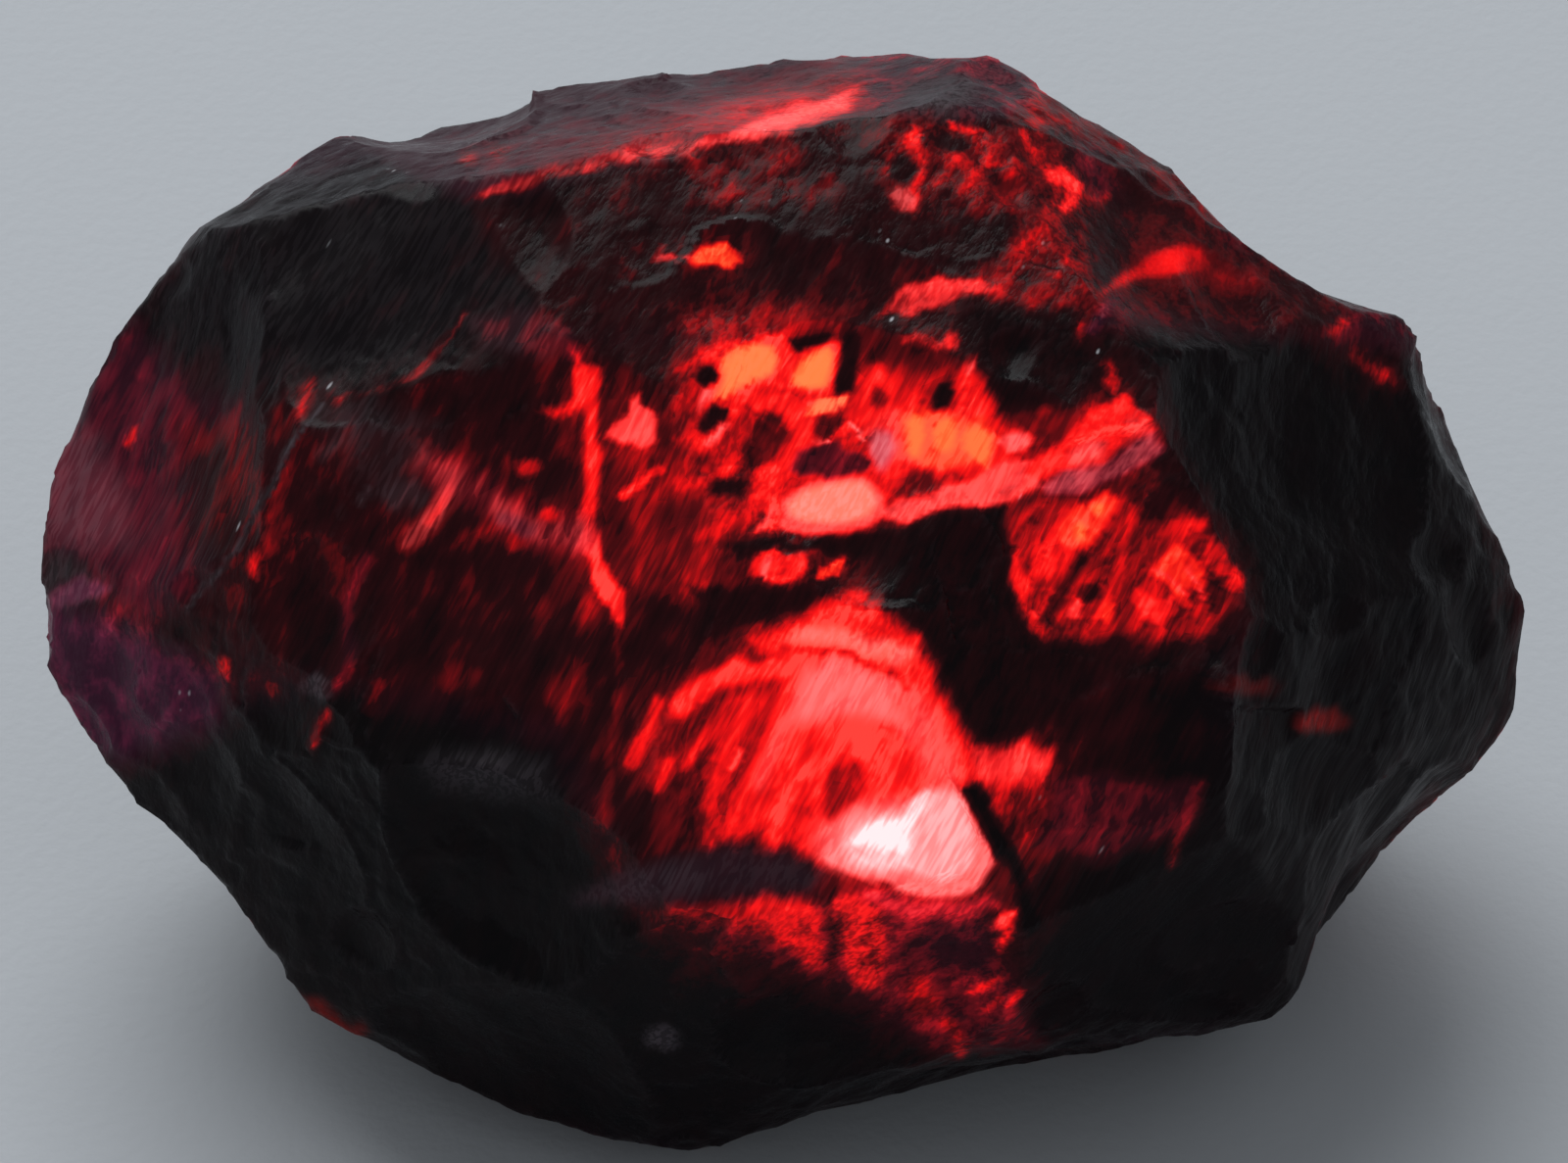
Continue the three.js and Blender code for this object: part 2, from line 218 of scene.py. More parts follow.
def lattice_vectors(cells, salt):
    """A fixed random unit vector for each whole-numbered cell."""
    mixed = cells[:, 0] * 73856093 + cells[:, 1] * 19349663 + cells[:, 2] * 83492791 + salt * 668265263
    mixed = (mixed ^ (mixed >> 13)) * 1274126177
    return GRADIENTS[(mixed >> 15) & 255]


def swells(points, salt=0):
    """Gradient noise, about -0.7 to 0.7, with one swell per unit of length."""
    base = np.floor(points).astype(np.int64)
    local = points - base
    fade = local**3 * (local * (local * 6 - 15) + 10)
    total = np.zeros(len(points))
    for corner in np.ndindex(2, 2, 2):
        weight = np.where(corner, fade, 1 - fade).prod(axis=1)
        slope = lattice_vectors(base + corner, salt) * (local - corner)
        total += weight * slope.sum(axis=1)
    return total


def facets(points, salt=0):
    """Cell noise as little tilted planes, about -0.5 to 0.5, with one cell per unit of length."""
    base = np.floor(points).astype(np.int64)
    nearest = np.full(len(points), np.inf)
    height = np.zeros(len(points))
    for step in np.ndindex(3, 3, 3):
        cell = base + step - (1, 1, 1)
        site = cell + 0.5 + 0.45 * lattice_vectors(cell, salt)
        offset = points - site
        distance = np.linalg.norm(offset, axis=1)
        closer = distance < nearest
        tilt = (lattice_vectors(cell, salt + 1) * offset).sum(axis=1)
        nearest = np.where(closer, distance, nearest)
        height = np.where(closer, tilt, height)
    return height


# %% [markdown]
# ## A ball of rays
#
# The stone bulges everywhere as seen from its middle, so one distance along each of many rays holds
# its whole shape. The rays come from a finely divided ball, stretched to the stone's proportions and
# pushed towards the broad face, where the eye looks closest.

# %% Rays from the middle
RAY_ROWS = 98  # divisions of each of the twenty sides of the ball: 20 * 98 * 98 triangles
STRETCH = (11.0, 8.6, 7.0)
PUSH = (0.0, 0.0, 1.6)


def divided_ball(rows):
    """Points and triangles of an icosahedron whose sides are divided into even rows."""
    ball = bmesh.new()
    bmesh.ops.create_icosphere(ball, subdivisions=1, radius=1)
    steps = [(i, j) for i in range(rows + 1) for j in range(rows + 1 - i)]
    place = {step: number for number, step in enumerate(steps)}
    upright = [[place[i, j], place[i + 1, j], place[i, j + 1]] for i, j in steps if i + j < rows]
    inverted = [[place[i + 1, j], place[i + 1, j + 1], place[i, j + 1]]
                for i, j in steps if i + j < rows - 1]
    small = np.array(upright + inverted)
    weights = np.array([(rows - i - j, i, j) for i, j in steps]) / rows
    points, triangles = [], []
    for side, face in enumerate(ball.faces):
        corners = np.array([vertex.co for vertex in face.verts])
        points.append(weights @ corners)
        triangles.append(small + side * len(steps))
    ball.free()
    points = np.vstack(points)
    _, first, merged = np.unique(points.round(5), axis=0, return_index=True, return_inverse=True)
    return points[first], merged.ravel()[np.vstack(triangles)]


def unit(vectors):
    return vectors / np.linalg.norm(vectors, axis=-1, keepdims=True)


ball_points, triangles = divided_ball(RAY_ROWS)
rays = unit((unit(ball_points) * STRETCH + PUSH) @ FACE_AXES.T)
print("rays:", len(rays), "triangles:", len(triangles))

# %% [markdown]
# ## How far each ray goes
#
# Every flat side and every scar says how far out it would cut a ray. The nearest cut wins, and
# which one it was tells us later where two breaks meet in a ridge. Boolean cuts would give the same
# form, but they leave slivers, while this keeps the mesh even. Each scar has axes of its own, and its
# surface is a dish with ripples round its middle and a soft unevenness.

# %% A scar's axes and its height
SCAR_ROUGHNESS = 0.16
SCAR_WAVE = 1.7
RIB_WAVE = 2.2


def scar_axes(chip, axes):
    """A flake's own axes in the part's frame: along it, across it, and out of it."""
    lean = Vector((0, 0, 1)).rotation_difference(chip["out"]).to_matrix()
    turned = lean @ Matrix.Rotation(chip["turn"], 3, "Z")
    return axes @ np.array(turned)


def scar_height(chip, x, y):
    """How high a scar's surface stands above its deepest point."""
    dish = x**2 / (2 * chip["bend"][0]) + y**2 / (2 * chip["bend"][1])
    ripples = chip["rib"] * np.cos(2 * np.pi * np.hypot(x, y) / RIB_WAVE)
    spot = np.stack([x / SCAR_WAVE, y / SCAR_WAVE, np.zeros_like(x)], axis=1) + chip["at"]
    return dish + ripples + SCAR_ROUGHNESS * swells(spot)


example = scar_height(FACE_CHIPS["left lobe"], np.arange(4.0), np.zeros(4))
print("left lobe's scar, 0 to 3 mm from its middle, mm:", example.round(2))

# %% [markdown]
# ## Where rays meet the sides and the scars
#
# A flat side is met at once. A scar is curved, so its distance is found by a few rounds of guessing and
# correcting. A flake reaches only so far, so a ray counts only between the places where it enters
# and leaves the flake's own slab, and rays far off to the side aren't tried at all.

# %% Distances to sides, scars and foot
GUESSES = 8
CONE_MARGIN = 1.3  # a scar is looked for in a cone this much wider than its flake
WIDEST_CONE = 1.5  # radians
LEAST_CLIMB = 0.05  # a ray that leaves a scar's plane more slowly than this misses the scar
FARTHEST = 15  # millimetres: farther out than any part of the stone
GRAZING = 1e-4
TINY = 1e-6


def slab(start, rate, half):
    """Where rays enter and leave the band that reaches half a width to both sides."""
    near = (-half - start) / rate
    far = (half - start) / rate
    return np.minimum(near, far), np.maximum(near, far)


def scar_distance(chip, at, axes):
    """How far each ray gets before it meets the flake, or infinity where it misses it."""
    start = (MIDDLE - at) @ axes
    along, across = chip["size"]
    spread = math.atan2(math.hypot(along, across) / 2, np.linalg.norm(at - MIDDLE))
    near = np.flatnonzero(rays @ unit(at - MIDDLE) > math.cos(min(CONE_MARGIN * spread, WIDEST_CONE)))
    rates = rays[near] @ axes
    rates = np.where(np.abs(rates) < TINY, TINY, rates)
    enter_x, leave_x = slab(start[0], rates[:, 0], along / 2)
    enter_y, leave_y = slab(start[1], rates[:, 1], across / 2)
    enter, leave = np.maximum(enter_x, enter_y), np.minimum(leave_x, leave_y)
    upward = np.maximum(rates[:, 2], LEAST_CLIMB)
    reach = -start[2] / upward
    for _ in range(GUESSES):
        spot = start + np.clip(reach, 0, FARTHEST)[:, None] * rates
        reach = (reach + (scar_height(chip, spot[:, 0], spot[:, 1]) - start[2]) / upward) / 2
    reach = np.maximum(reach, enter)
    hit = (rates[:, 2] > LEAST_CLIMB) & (reach < leave)
    distance = np.full(len(rays), np.inf, np.float32)
    distance[near[hit]] = reach[hit]
    return distance


def side_distance(normal, offset):
    facing = rays @ normal
    return np.where(facing > GRAZING, offset / np.maximum(facing, GRAZING), np.inf)


def all_distances():
    """One row of distances for each flat side, the foot, each large scar and each small nick."""
    rows = [side_distance(n, d) for n, d in zip(side_normals, side_distances)]
    rows.append(side_distance(np.array([0, 0, -1.0]), FACE_HEIGHT))
    for chip in FACE_CHIPS.values():
        rows.append(scar_distance(chip, face_to_part(chip["at"]), scar_axes(chip, FACE_AXES)))
    for chip in [*BACK_CHIPS.values(), *nicks]:
        rows.append(scar_distance(chip, chip["at"], scar_axes(chip, np.eye(3))))
    return np.array(rows, np.float32)


nicks = []
distances = all_distances()
owners = distances.argmin(axis=0)
FOOT = len(side_distances)
print("breaks that show:", len(set(owners)))

# %% [markdown]
# ## Where the ridges are
#
# To knock the ridges we must first find them. A mesh edge whose two ends were cut by different breaks
# lies on a border, and it is a ridge where the skin turns. Comparing the outward directions at its ends
# tells us, and needs no marked edges.

# %% Edges, outward directions and ridges
BLUNT = 0.995  # how well the two sides of an edge agree where there is no ridge


def mesh_edges(corners):
    pairs = np.vstack([corners[:, [0, 1]], corners[:, [1, 2]], corners[:, [2, 0]]])
    return np.unique(np.sort(pairs, axis=1), axis=0)


def outward(points):
    """Smooth outward directions of the mesh at its points."""
    sides = np.cross(points[triangles[:, 1]] - points[triangles[:, 0]],
                     points[triangles[:, 2]] - points[triangles[:, 0]])
    total = np.zeros_like(points)
    for corner in range(3):
        np.add.at(total, triangles[:, corner], sides)
    return unit(total)


edges = mesh_edges(triangles)
stone = MIDDLE + rays * distances.min(axis=0)[:, None]
normals = outward(stone)
meets = edges[owners[edges[:, 0]] != owners[edges[:, 1]]]
sharp = meets[(normals[meets[:, 0]] * normals[meets[:, 1]]).sum(axis=1) < BLUNT]
print("mesh edges across a ridge:", len(sharp))

# %% [markdown]
# ## Nicked edges
#
# Loose gem gravel knocks its ridges. Small flakes are taken off at seeded places along the ridges,
# and a few out on the faces, each tilted a little at random. They keep clear of the foot.

# %% Small flakes along the ridges
RIDGE_NICKS = {"count": 130, "spacing": 0.8, "depth": (0.03, 0.14), "reach": (0.3, 0.8)}
FACE_NICKS = {"count": 26, "spacing": 1.5, "depth": (0.015, 0.045), "reach": (0.3, 0.9)}
NICK_TILT = 0.16
NICK_SPAN = 5  # a nick's cut is tried over this many times its reach
LONG_BEND = (0.8, 2.5)
SHORT_BEND = (0.5, 1.2)
THINNEST_BITE = 0.02
THICKEST_BITE = 0.25
LOWEST_RIDGE = 1.2
LOWEST_FACE = 1.5
rng = np.random.default_rng(SEED)


def spread_out(candidates, kind):
    """Points picked at random from the candidates, no two closer than the kind of nick allows."""
    kept = []
    for candidate in rng.permutation(candidates):
        if all(np.linalg.norm(stone[candidate] - stone[other]) > kind["spacing"] for other in kept):
            kept.append(candidate)
        if len(kept) == kind["count"]:
            break
    return kept


def nick(place, depth, reach):
    """A small flake whose scar's deepest point lies just under a point of the skin."""
    facing = Vector(normals[place] + rng.normal(scale=NICK_TILT, size=3)).normalized()
    radius = reach**2 / (2 * depth)
    at = stone[place] - depth * np.array(facing)
    size = (NICK_SPAN * reach, NICK_SPAN * reach)
    bend = (radius * rng.uniform(*LONG_BEND), radius * rng.uniform(*SHORT_BEND))
    return {"at": at, "out": facing, "size": size, "bend": bend,
            "turn": rng.uniform(0, math.pi), "rib": 0, "hackle": 0.01}


def nicks_at(places, kind):
    return [nick(place, rng.uniform(*kind["depth"]), rng.uniform(*kind["reach"])) for place in places]


def shallow(candidates):
    """The nicks that take off a thin flake, and no corner of a step."""
    surface = distances.min(axis=0)
    kept = []
    for candidate in candidates:
        cut = scar_distance(candidate, candidate["at"], scar_axes(candidate, np.eye(3)))
        bite = np.max(surface - np.minimum(cut, surface))
        if THINNEST_BITE < bite < THICKEST_BITE:
            kept.append(candidate)
    return kept


on_ridges = sharp[stone[sharp[:, 0], 2] > LOWEST_RIDGE][:, 0]
on_faces = np.flatnonzero(stone[:, 2] > LOWEST_FACE)
ridge_places = spread_out(on_ridges, RIDGE_NICKS)
face_places = spread_out(on_faces, FACE_NICKS)
nicks = shallow(nicks_at(ridge_places, RIDGE_NICKS) + nicks_at(face_places, FACE_NICKS))
distances = all_distances()
owners = distances.argmin(axis=0)
print("nicks:", len(nicks))

# %% [markdown]
# ## Crisp ridges
#
# Two breaks meet in a sharp ridge, but a ray rarely runs exactly along one. For each edge of the
# mesh whose ends belong to different breaks, we work out where along it the two cuts are equally
# far, and slide the nearer ray there. The ridges then run through the points of the mesh.

# %% Slide rays onto the ridges
NOTHING = 1e-9  # millimetres, so that two equal cuts don't divide by zero
LONGEST_SLIDE = 0.46  # how much of an edge a ray may slide


def ridge_crossings():
    """The edges that cross a ridge, and how far along each one the ridge is."""
    first, last = edges.T
    gap_first = distances[owners[last], first] - distances[owners[first], first]
    gap_last = distances[owners[first], last] - distances[owners[last], last]
    crossing = (owners[first] != owners[last]) & np.isfinite(gap_first) & np.isfinite(gap_last)
    share = gap_first[crossing] / np.maximum(gap_first + gap_last, NOTHING)[crossing]
    return edges[crossing], share


def slid_onto_ridges():
    crossed, share = ridge_crossings()
    movers = np.where(share < 0.5, crossed[:, 0], crossed[:, 1])
    goals = np.where(share < 0.5, crossed[:, 1], crossed[:, 0])
    slides = np.minimum(share, 1 - share)
    order = np.argsort(-slides)  # the shortest slide of a ray is written last, and stays
    slides = np.minimum(slides[order], LONGEST_SLIDE)[:, None]
    moved = rays.copy()
    moved[movers[order]] = rays[movers[order]] * (1 - slides) + rays[goals[order]] * slides
    on_ridge = np.zeros(len(rays), bool)
    on_ridge[movers] = True
    return unit(moved), on_ridge


rays, on_ridge = slid_onto_ridges()
distances = all_distances()
owners = distances.argmin(axis=0)
stone = MIDDLE + rays * distances.min(axis=0)[:, None]
print("rays on a ridge:", on_ridge.sum())

# %% [markdown]
# ## Fine relief
#
# Close up, each break has its own grain: broad swells on the old skin, soft waves on glassy scars,
# and crumbly facets where the crystal shattered. It is real geometry, so it shows in every light. The
# foot stays flat, because the stone stands on it.

# %% Relief in steps from coarse to fine
SKIN_SWELL = (0.16, 2.6)  # height and wave, in millimetres, of the old skin alone
SOFT_SWELL = (0.05, 0.9)
FINE_SWELL = (0.012, 0.35)
SIDE_HACKLE = 0.03
COARSE_FACET = 0.6  # millimetres across
FINE_FACET = 0.27
FINE_SHARE = 0.4


def swelling(points, swell, salt):
    height, wave = swell
    return height * swells(points / wave, salt)


def relief(points):
    """How far each point of the skin is pushed out, in millimetres."""
    all_chips = [*FACE_CHIPS.values(), *BACK_CHIPS.values(), *nicks]
    hackles = np.array([SIDE_HACKLE] * (FOOT + 1) + [chip["hackle"] for chip in all_chips])
    height = np.where(owners < FOOT, swelling(points, SKIN_SWELL, 0), 0)
    height += swelling(points, SOFT_SWELL, 1) + swelling(points, FINE_SWELL, 2)
    height += hackles[owners] * facets(points / COARSE_FACET, 4)
    height += FINE_SHARE * hackles[owners] * facets(points / FINE_FACET, 6)
    return np.where(owners == FOOT, 0, height)


stone = stone + relief(stone)[:, None] * rays
stone[:, 2] = np.maximum(stone[:, 2], 0)
stone[owners == FOOT, 2] = 0
print("points on the foot:", (owners == FOOT).sum())

# %% [markdown]
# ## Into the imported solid's place
#
# The part stands centred on the box of its solid, so the fine stone is centred the same way, and
# drawn in by a hair if its relief stands proud of that box.

# %% Centre it and make the mesh
stone_size = np.ptp(stone, axis=0)
box_size = np.ptp(np.array(cad_box), axis=0) / MM
shrink = min(1.0, (box_size / stone_size).min())
shift = np.append((stone.min(axis=0) + stone.max(axis=0))[:2] / 2, 0)
placed = (stone - shift) * shrink * MM


def mesh_of(name, points, corners):
    mesh = bpy.data.meshes.new(name)
    mesh.vertices.add(len(points))
    mesh.vertices.foreach_set("co", points.ravel())
    mesh.loops.add(corners.size)
    mesh.loops.foreach_set("vertex_index", corners.ravel())
    mesh.polygons.add(len(corners))
    mesh.polygons.foreach_set("loop_start", np.arange(0, corners.size, 3))
    mesh.update(calc_edges=True)
    mesh.validate()
    mesh.shade_smooth()
    piece = bpy.data.objects.new(name, mesh)
    bpy.context.scene.collection.objects.link(piece)
    return piece


stone_piece = mesh_of("painite_stone", placed, triangles)
print("stone, mm:", (np.ptp(placed, axis=0) / MM).round(2), "drawn in by", round(1 - shrink, 4))

# %% [markdown]
# # Finishes
#
# ## Where the light comes through
#
# Painite swallows nearly all light, so the stone is close to black, with a greasy shine. Where it
# is cracked and light gets in behind, it gets out again: scarlet in the shattered middle,
# orange where it is thinnest, pink where a smooth break sends it straight to the eye. Following that
# light through thousands of inner cracks would take hours, so we paint how much of it leaves each
# point of the skin, and let a shader turn the amount into colour.
#
# To paint, we need each point's place as the eye sees it, square to the broad face. The crystal's
# fibres fray what is painted along the grain, and its crumbs eat into it a little every way.

# %% The skin as seen squarely from the front
EYE = 170.0  # how far the eye is from the face frame's origin, in millimetres
EDGE_ON = 0.12  # how far round the edge of the broad face the paint fades out
GRAIN_TURN = math.radians(62)  # the crystal's growth lines slant this much across the face
GRAIN = np.array([math.cos(GRAIN_TURN), math.sin(GRAIN_TURN)])
ACROSS_GRAIN = np.array([-GRAIN[1], GRAIN[0]])
FRAY = 0.15
CRUMBLE = 0.08
CRUMB = 0.5


def step_between(low, high, values):
    """0 below low, 1 above high, and a smooth step between them."""
    share = np.clip((values - low) / (high - low), 0, 1)
    return share * share * (3 - 2 * share)


def grain_spots(spots, length, width, depth):
    """Noise coordinates that give features this long along the grain, this wide and this deep."""
    return np.column_stack([spots @ GRAIN / length, spots @ ACROSS_GRAIN / width, face_spots[:, 2] / depth])


skin = outward(stone)
face_spots = part_to_face(stone)
facing = (skin @ FACE_AXES)[:, 2]
front = step_between(-EDGE_ON, EDGE_ON, facing)
still_sight = face_spots[:, :2] * (EYE / (EYE - face_spots[:, 2:]))
sight = still_sight + FRAY * swells(grain_spots(still_sight, 1.3, 0.2, 0.8), 30)[:, None] * GRAIN
sight += CRUMBLE * np.column_stack([swells(stone / CRUMB, 31), swells(stone / CRUMB, 32)])
print("skin points facing front:", int((front > 0.5).sum()))

# %% [markdown]
# ## Brushes
#
# A brush is a shape in the face frame: a filled outline, a line of some width, or an oval. Each has
# a soft edge, and sets some tones of the skin under it. The tones are how strong the light is (heat),
# how orange (warm), how milky (pale), how violet or green the dark is, how much grey lies on top (a
# painted sheen, partly dust), how much of the crystal's grain shows, and where a painted white
# highlight may sit (glint). An image would need unwrapping and would carry its own grain; shapes in
# millimetres need neither. Outlines are frayed by the grain, except that a brush marked still keeps
# its own, as a clear pane does.

# %% Brushes in the face frame
def path_distance(spots, path):
    """How far each spot is from a line through some points."""
    nearest = np.full(len(spots), np.inf)
    for start, end in zip(path[:-1], path[1:]):
        run = end - start
        share = np.clip((spots - start) @ run / (run @ run), 0, 1)
        nearest = np.minimum(nearest, np.linalg.norm(spots - start - share[:, None] * run, axis=1))
    return nearest


def is_inside(spots, path):
    """Whether each spot is inside a closed outline: a line drawn from it crosses an odd number of sides."""
    odd = np.zeros(len(spots), bool)
    for (u0, v0), (u1, v1) in zip(path[:-1], path[1:]):
        if v0 != v1:
            crossing = (spots[:, 1] < v0) != (spots[:, 1] < v1)
            odd ^= crossing & (spots[:, 0] < u0 + (spots[:, 1] - v0) * (u1 - u0) / (v1 - v0))
    return odd


def area(corners, soft, **tones):
    path = np.array([*corners, corners[0]])

    def depth(spots):
        return path_distance(spots, path) * np.where(is_inside(spots, path), 1, -1)
    return depth, soft, tones


def line(points, width, soft, **tones):
    path = np.array(points)

    def depth(spots):
        return width / 2 - path_distance(spots, path)
    return depth, soft, tones


def oval(centre, radii, soft, **tones):
    def depth(spots):
        return (1 - np.linalg.norm((spots - centre) / radii, axis=1)) * min(radii)
    return depth, soft, tones


# %% [markdown]
# ### Broad tones
#
# The large areas come first, so that nothing on the broad face is left bare: dark red in the middle,
# wine and violet in the two left lobes, where the crystal is clearest, and near black on the shoulder
# over them. A later brush lies on top of the ones before it.

# %% Broad tones, in millimetres
LIGHTS = {
    "middle of the face": area([
        (-8.24, 2.36), (-3.47, 3.81), (1.45, 4.24), (4.77, 3.81), (5.92, 1.78), (7.08, -0.38),
        (5.2, -0.96), (4.34, -3.71), (3.47, -5.87), (-1.45, -6.02), (-2.6, -3.85), (-3.47, -2.41),
        (-7.95, -1.54), (-9.1, -0.09)
    ], 1.3, heat=0.22),
    "left lobe": area([
        (-10.98, 2.51), (-9.68, 3.95), (-8.24, 2.8), (-7.37, 1.64), (-8.24, 0.34), (-9.39, -0.67),
        (-10.98, 0.34)
    ], 0.72, heat=0.32, violet=0.35, grain=0.5),
    "left lobe's pale rim": area([
        (-10.98, 2.36), (-10.26, 2.22), (-9.75, 1.35), (-9.71, 0.63), (-10.69, 0.48), (-10.98, 1.06)
    ], 0.58, heat=0.38, violet=0.4, haze=0.45, grain=0.2),
    "lower left lobe": area([
        (-11.13, -0.09), (-9.39, -0.82), (-8.38, -1.39), (-8.24, -2.41), (-9.25, -3.13),
        (-10.4, -2.41), (-11.13, -0.96)
    ], 0.58, heat=0.32, violet=0.9, grain=0.5),
    "notch between the lobes": area([
        (-10.98, 0.48), (-10.33, 0.27), (-10.26, 0.02), (-10.98, -0.09)
    ], 0.35, heat=0.1, haze=0.3),
    "left lobe's red core": area([
        (-8.89, 2.36), (-7.23, 2.51), (-7.23, 0.48), (-8.24, -0.09), (-8.82, 0.48)
    ], 1.01, heat=0.29, violet=0),
    "left shoulder": area([
        (-9.39, 3.81), (-8.67, 5.69), (-5.49, 6.41), (-3.47, 5.4), (-3.47, 3.95), (-5.2, 3.23),
        (-7.23, 2.94), (-8.67, 2.8)
    ], 0.72, heat=0.08, haze=0.08, grain=1),
}
print("brushes of light so far:", len(LIGHTS))

# %% [markdown]
# ### Broad tones of the bands and slopes
#
# Round the middle lie the upper band, the slopes, the terrace and the crown. Each outline follows a
# large break, so the tone changes where the shape does, and a wide soft edge hides the joins.

# %% Broad tones of the bands and slopes, in millimetres
LIGHTS |= {
    "upper band": area([
        (-4.62, 5.54), (1.16, 6.77), (4.19, 6.84), (4.77, 3.81), (1.45, 3.59), (-1.45, 3.74),
        (-3.47, 3.66)
    ], 0.43, heat=0.2),
    "red in the upper band": area([
        (-1.59, 6.19), (-0.29, 6.41), (0.72, 6.41), (1.01, 5.4), (-0.29, 5.54), (-1.45, 5.47)
    ], 0.58, heat=0.34),
    "upper right slope": area([
        (4.34, 7.13), (6.36, 5.69), (7.95, 4.6), (9.54, 3.95), (9.83, 3.16), (7.23, 3.66),
        (4.77, 3.81), (4.34, 5.98)
    ], 0.43, heat=0.28, violet=0.25),
    "right side": area([
        (4.77, 3.66), (7.23, 3.66), (9.83, 3.09), (11.56, -0.38), (10.98, -2.7), (8.67, -4.72),
        (7.8, -6.74), (3.76, -6.89), (3.47, -4.86), (6.21, -3.42), (7.08, -1.54), (5.92, 1.78)
    ], 0.72, heat=0.06, green=0.2),
    "lower front": area([
        (-10.4, -2.98), (-6.79, -1.54), (-3.47, -2.41), (-2.6, -4.14), (-1.45, -6.02), (3.76, -7.03),
        (-0.58, -8.76), (-5.35, -7.61), (-8.38, -5.3)
    ], 0.72, heat=0.06, green=0.6),
    "top terrace": area([
        (-6.65, 6.7), (-4.05, 7.71), (-0.14, 8), (1.16, 8), (1.23, 6.99), (-1.45, 6.41), (-4.62, 5.64),
        (-5.49, 5.98)
    ], 0.36, heat=0.24, haze=0.2, violet=0.3, grain=0.3),
    "wine glow on the terrace": area([
        (-4.77, 6.41), (-2.31, 6.99), (-0.58, 7.42), (0.72, 7.71), (0.87, 7.13), (-2.31, 6.41),
        (-4.34, 5.98)
    ], 0.87, heat=0.35, haze=0.2, violet=0.2, grain=0.3),
    "crown": area([
        (1.01, 8.14), (2.89, 8.14), (4.48, 7.13), (2.89, 6.81), (1.23, 6.96)
    ], 0.29, heat=0.33, haze=0.15, violet=0.3),
    "crown streaks": area([
        (1.3, 6.77), (3.61, 6.84), (4.62, 5.69), (4.7, 3.95), (3.47, 3.81), (2.31, 5.11), (1.16, 6.12)
    ], 0.43, heat=0.37),
}
print("brushes of light so far:", len(LIGHTS))

# %% [markdown]
# ### The stripe under the terrace
#
# The terrace at the top ends in a thin edge, and light slips out under it as one long stripe that is
# brightest at its right end. It is laid in layers: a wide dim glow, the stripe, then its bright parts.

# %% The stripe under the terrace, in millimetres
LIGHTS |= {
    "light above the stripe": area([
        (-3.47, 6.12), (-2.31, 6.63), (-0.58, 7.2), (1.01, 7.57), (1.23, 7.13), (-0.58, 6.7),
        (-2.31, 6.26)
    ], 0.72, heat=0.5, haze=0.2, grain=0.4),
    "stripe under the terrace": area([
        (-4.68, 5.61), (-4.34, 5.83), (-3.47, 6.09), (-2.31, 6.38), (-1.45, 6.47), (-0.72, 6.63),
        (0, 6.84), (0.72, 7.13), (1.18, 7.3), (0.98, 6.99), (0.72, 6.84), (0, 6.58), (-0.58, 6.47),
        (-1.45, 6.35), (-2.17, 6.26), (-2.89, 6.06), (-3.47, 5.9), (-3.9, 5.73)
    ], 0.12, heat=0.58, pale=0.2, grain=0.6),
    "stripe's middle": line([
        (-2.31, 6.32), (-1.45, 6.44), (-0.72, 6.58)
    ], 0.13, 0.2, heat=0.74, pale=0.25),
    "stripe's bright end": area([
        (-0.94, 6.52), (-0.43, 6.84), (0.29, 7.07), (0.98, 7.25), (0.9, 7.02), (0.29, 6.81),
        (-0.29, 6.58)
    ], 0.2, heat=0.93, pale=0.3),
    "terrace spot": oval((-4.65, 6.26), (0.13, 0.13), 0.17, heat=0.56, pale=0.1),
    "terrace's second spot": oval((-4.19, 6.39), (0.12, 0.1), 0.17, heat=0.48),
}
print("brushes of light so far:", len(LIGHTS))

# %% [markdown]
# ### The crown
#
# The crown is crazed with short cracks, each one a hook, a tick or a bar of light. Noise would craze it
# too, but evenly, and here the bars gather in clusters.

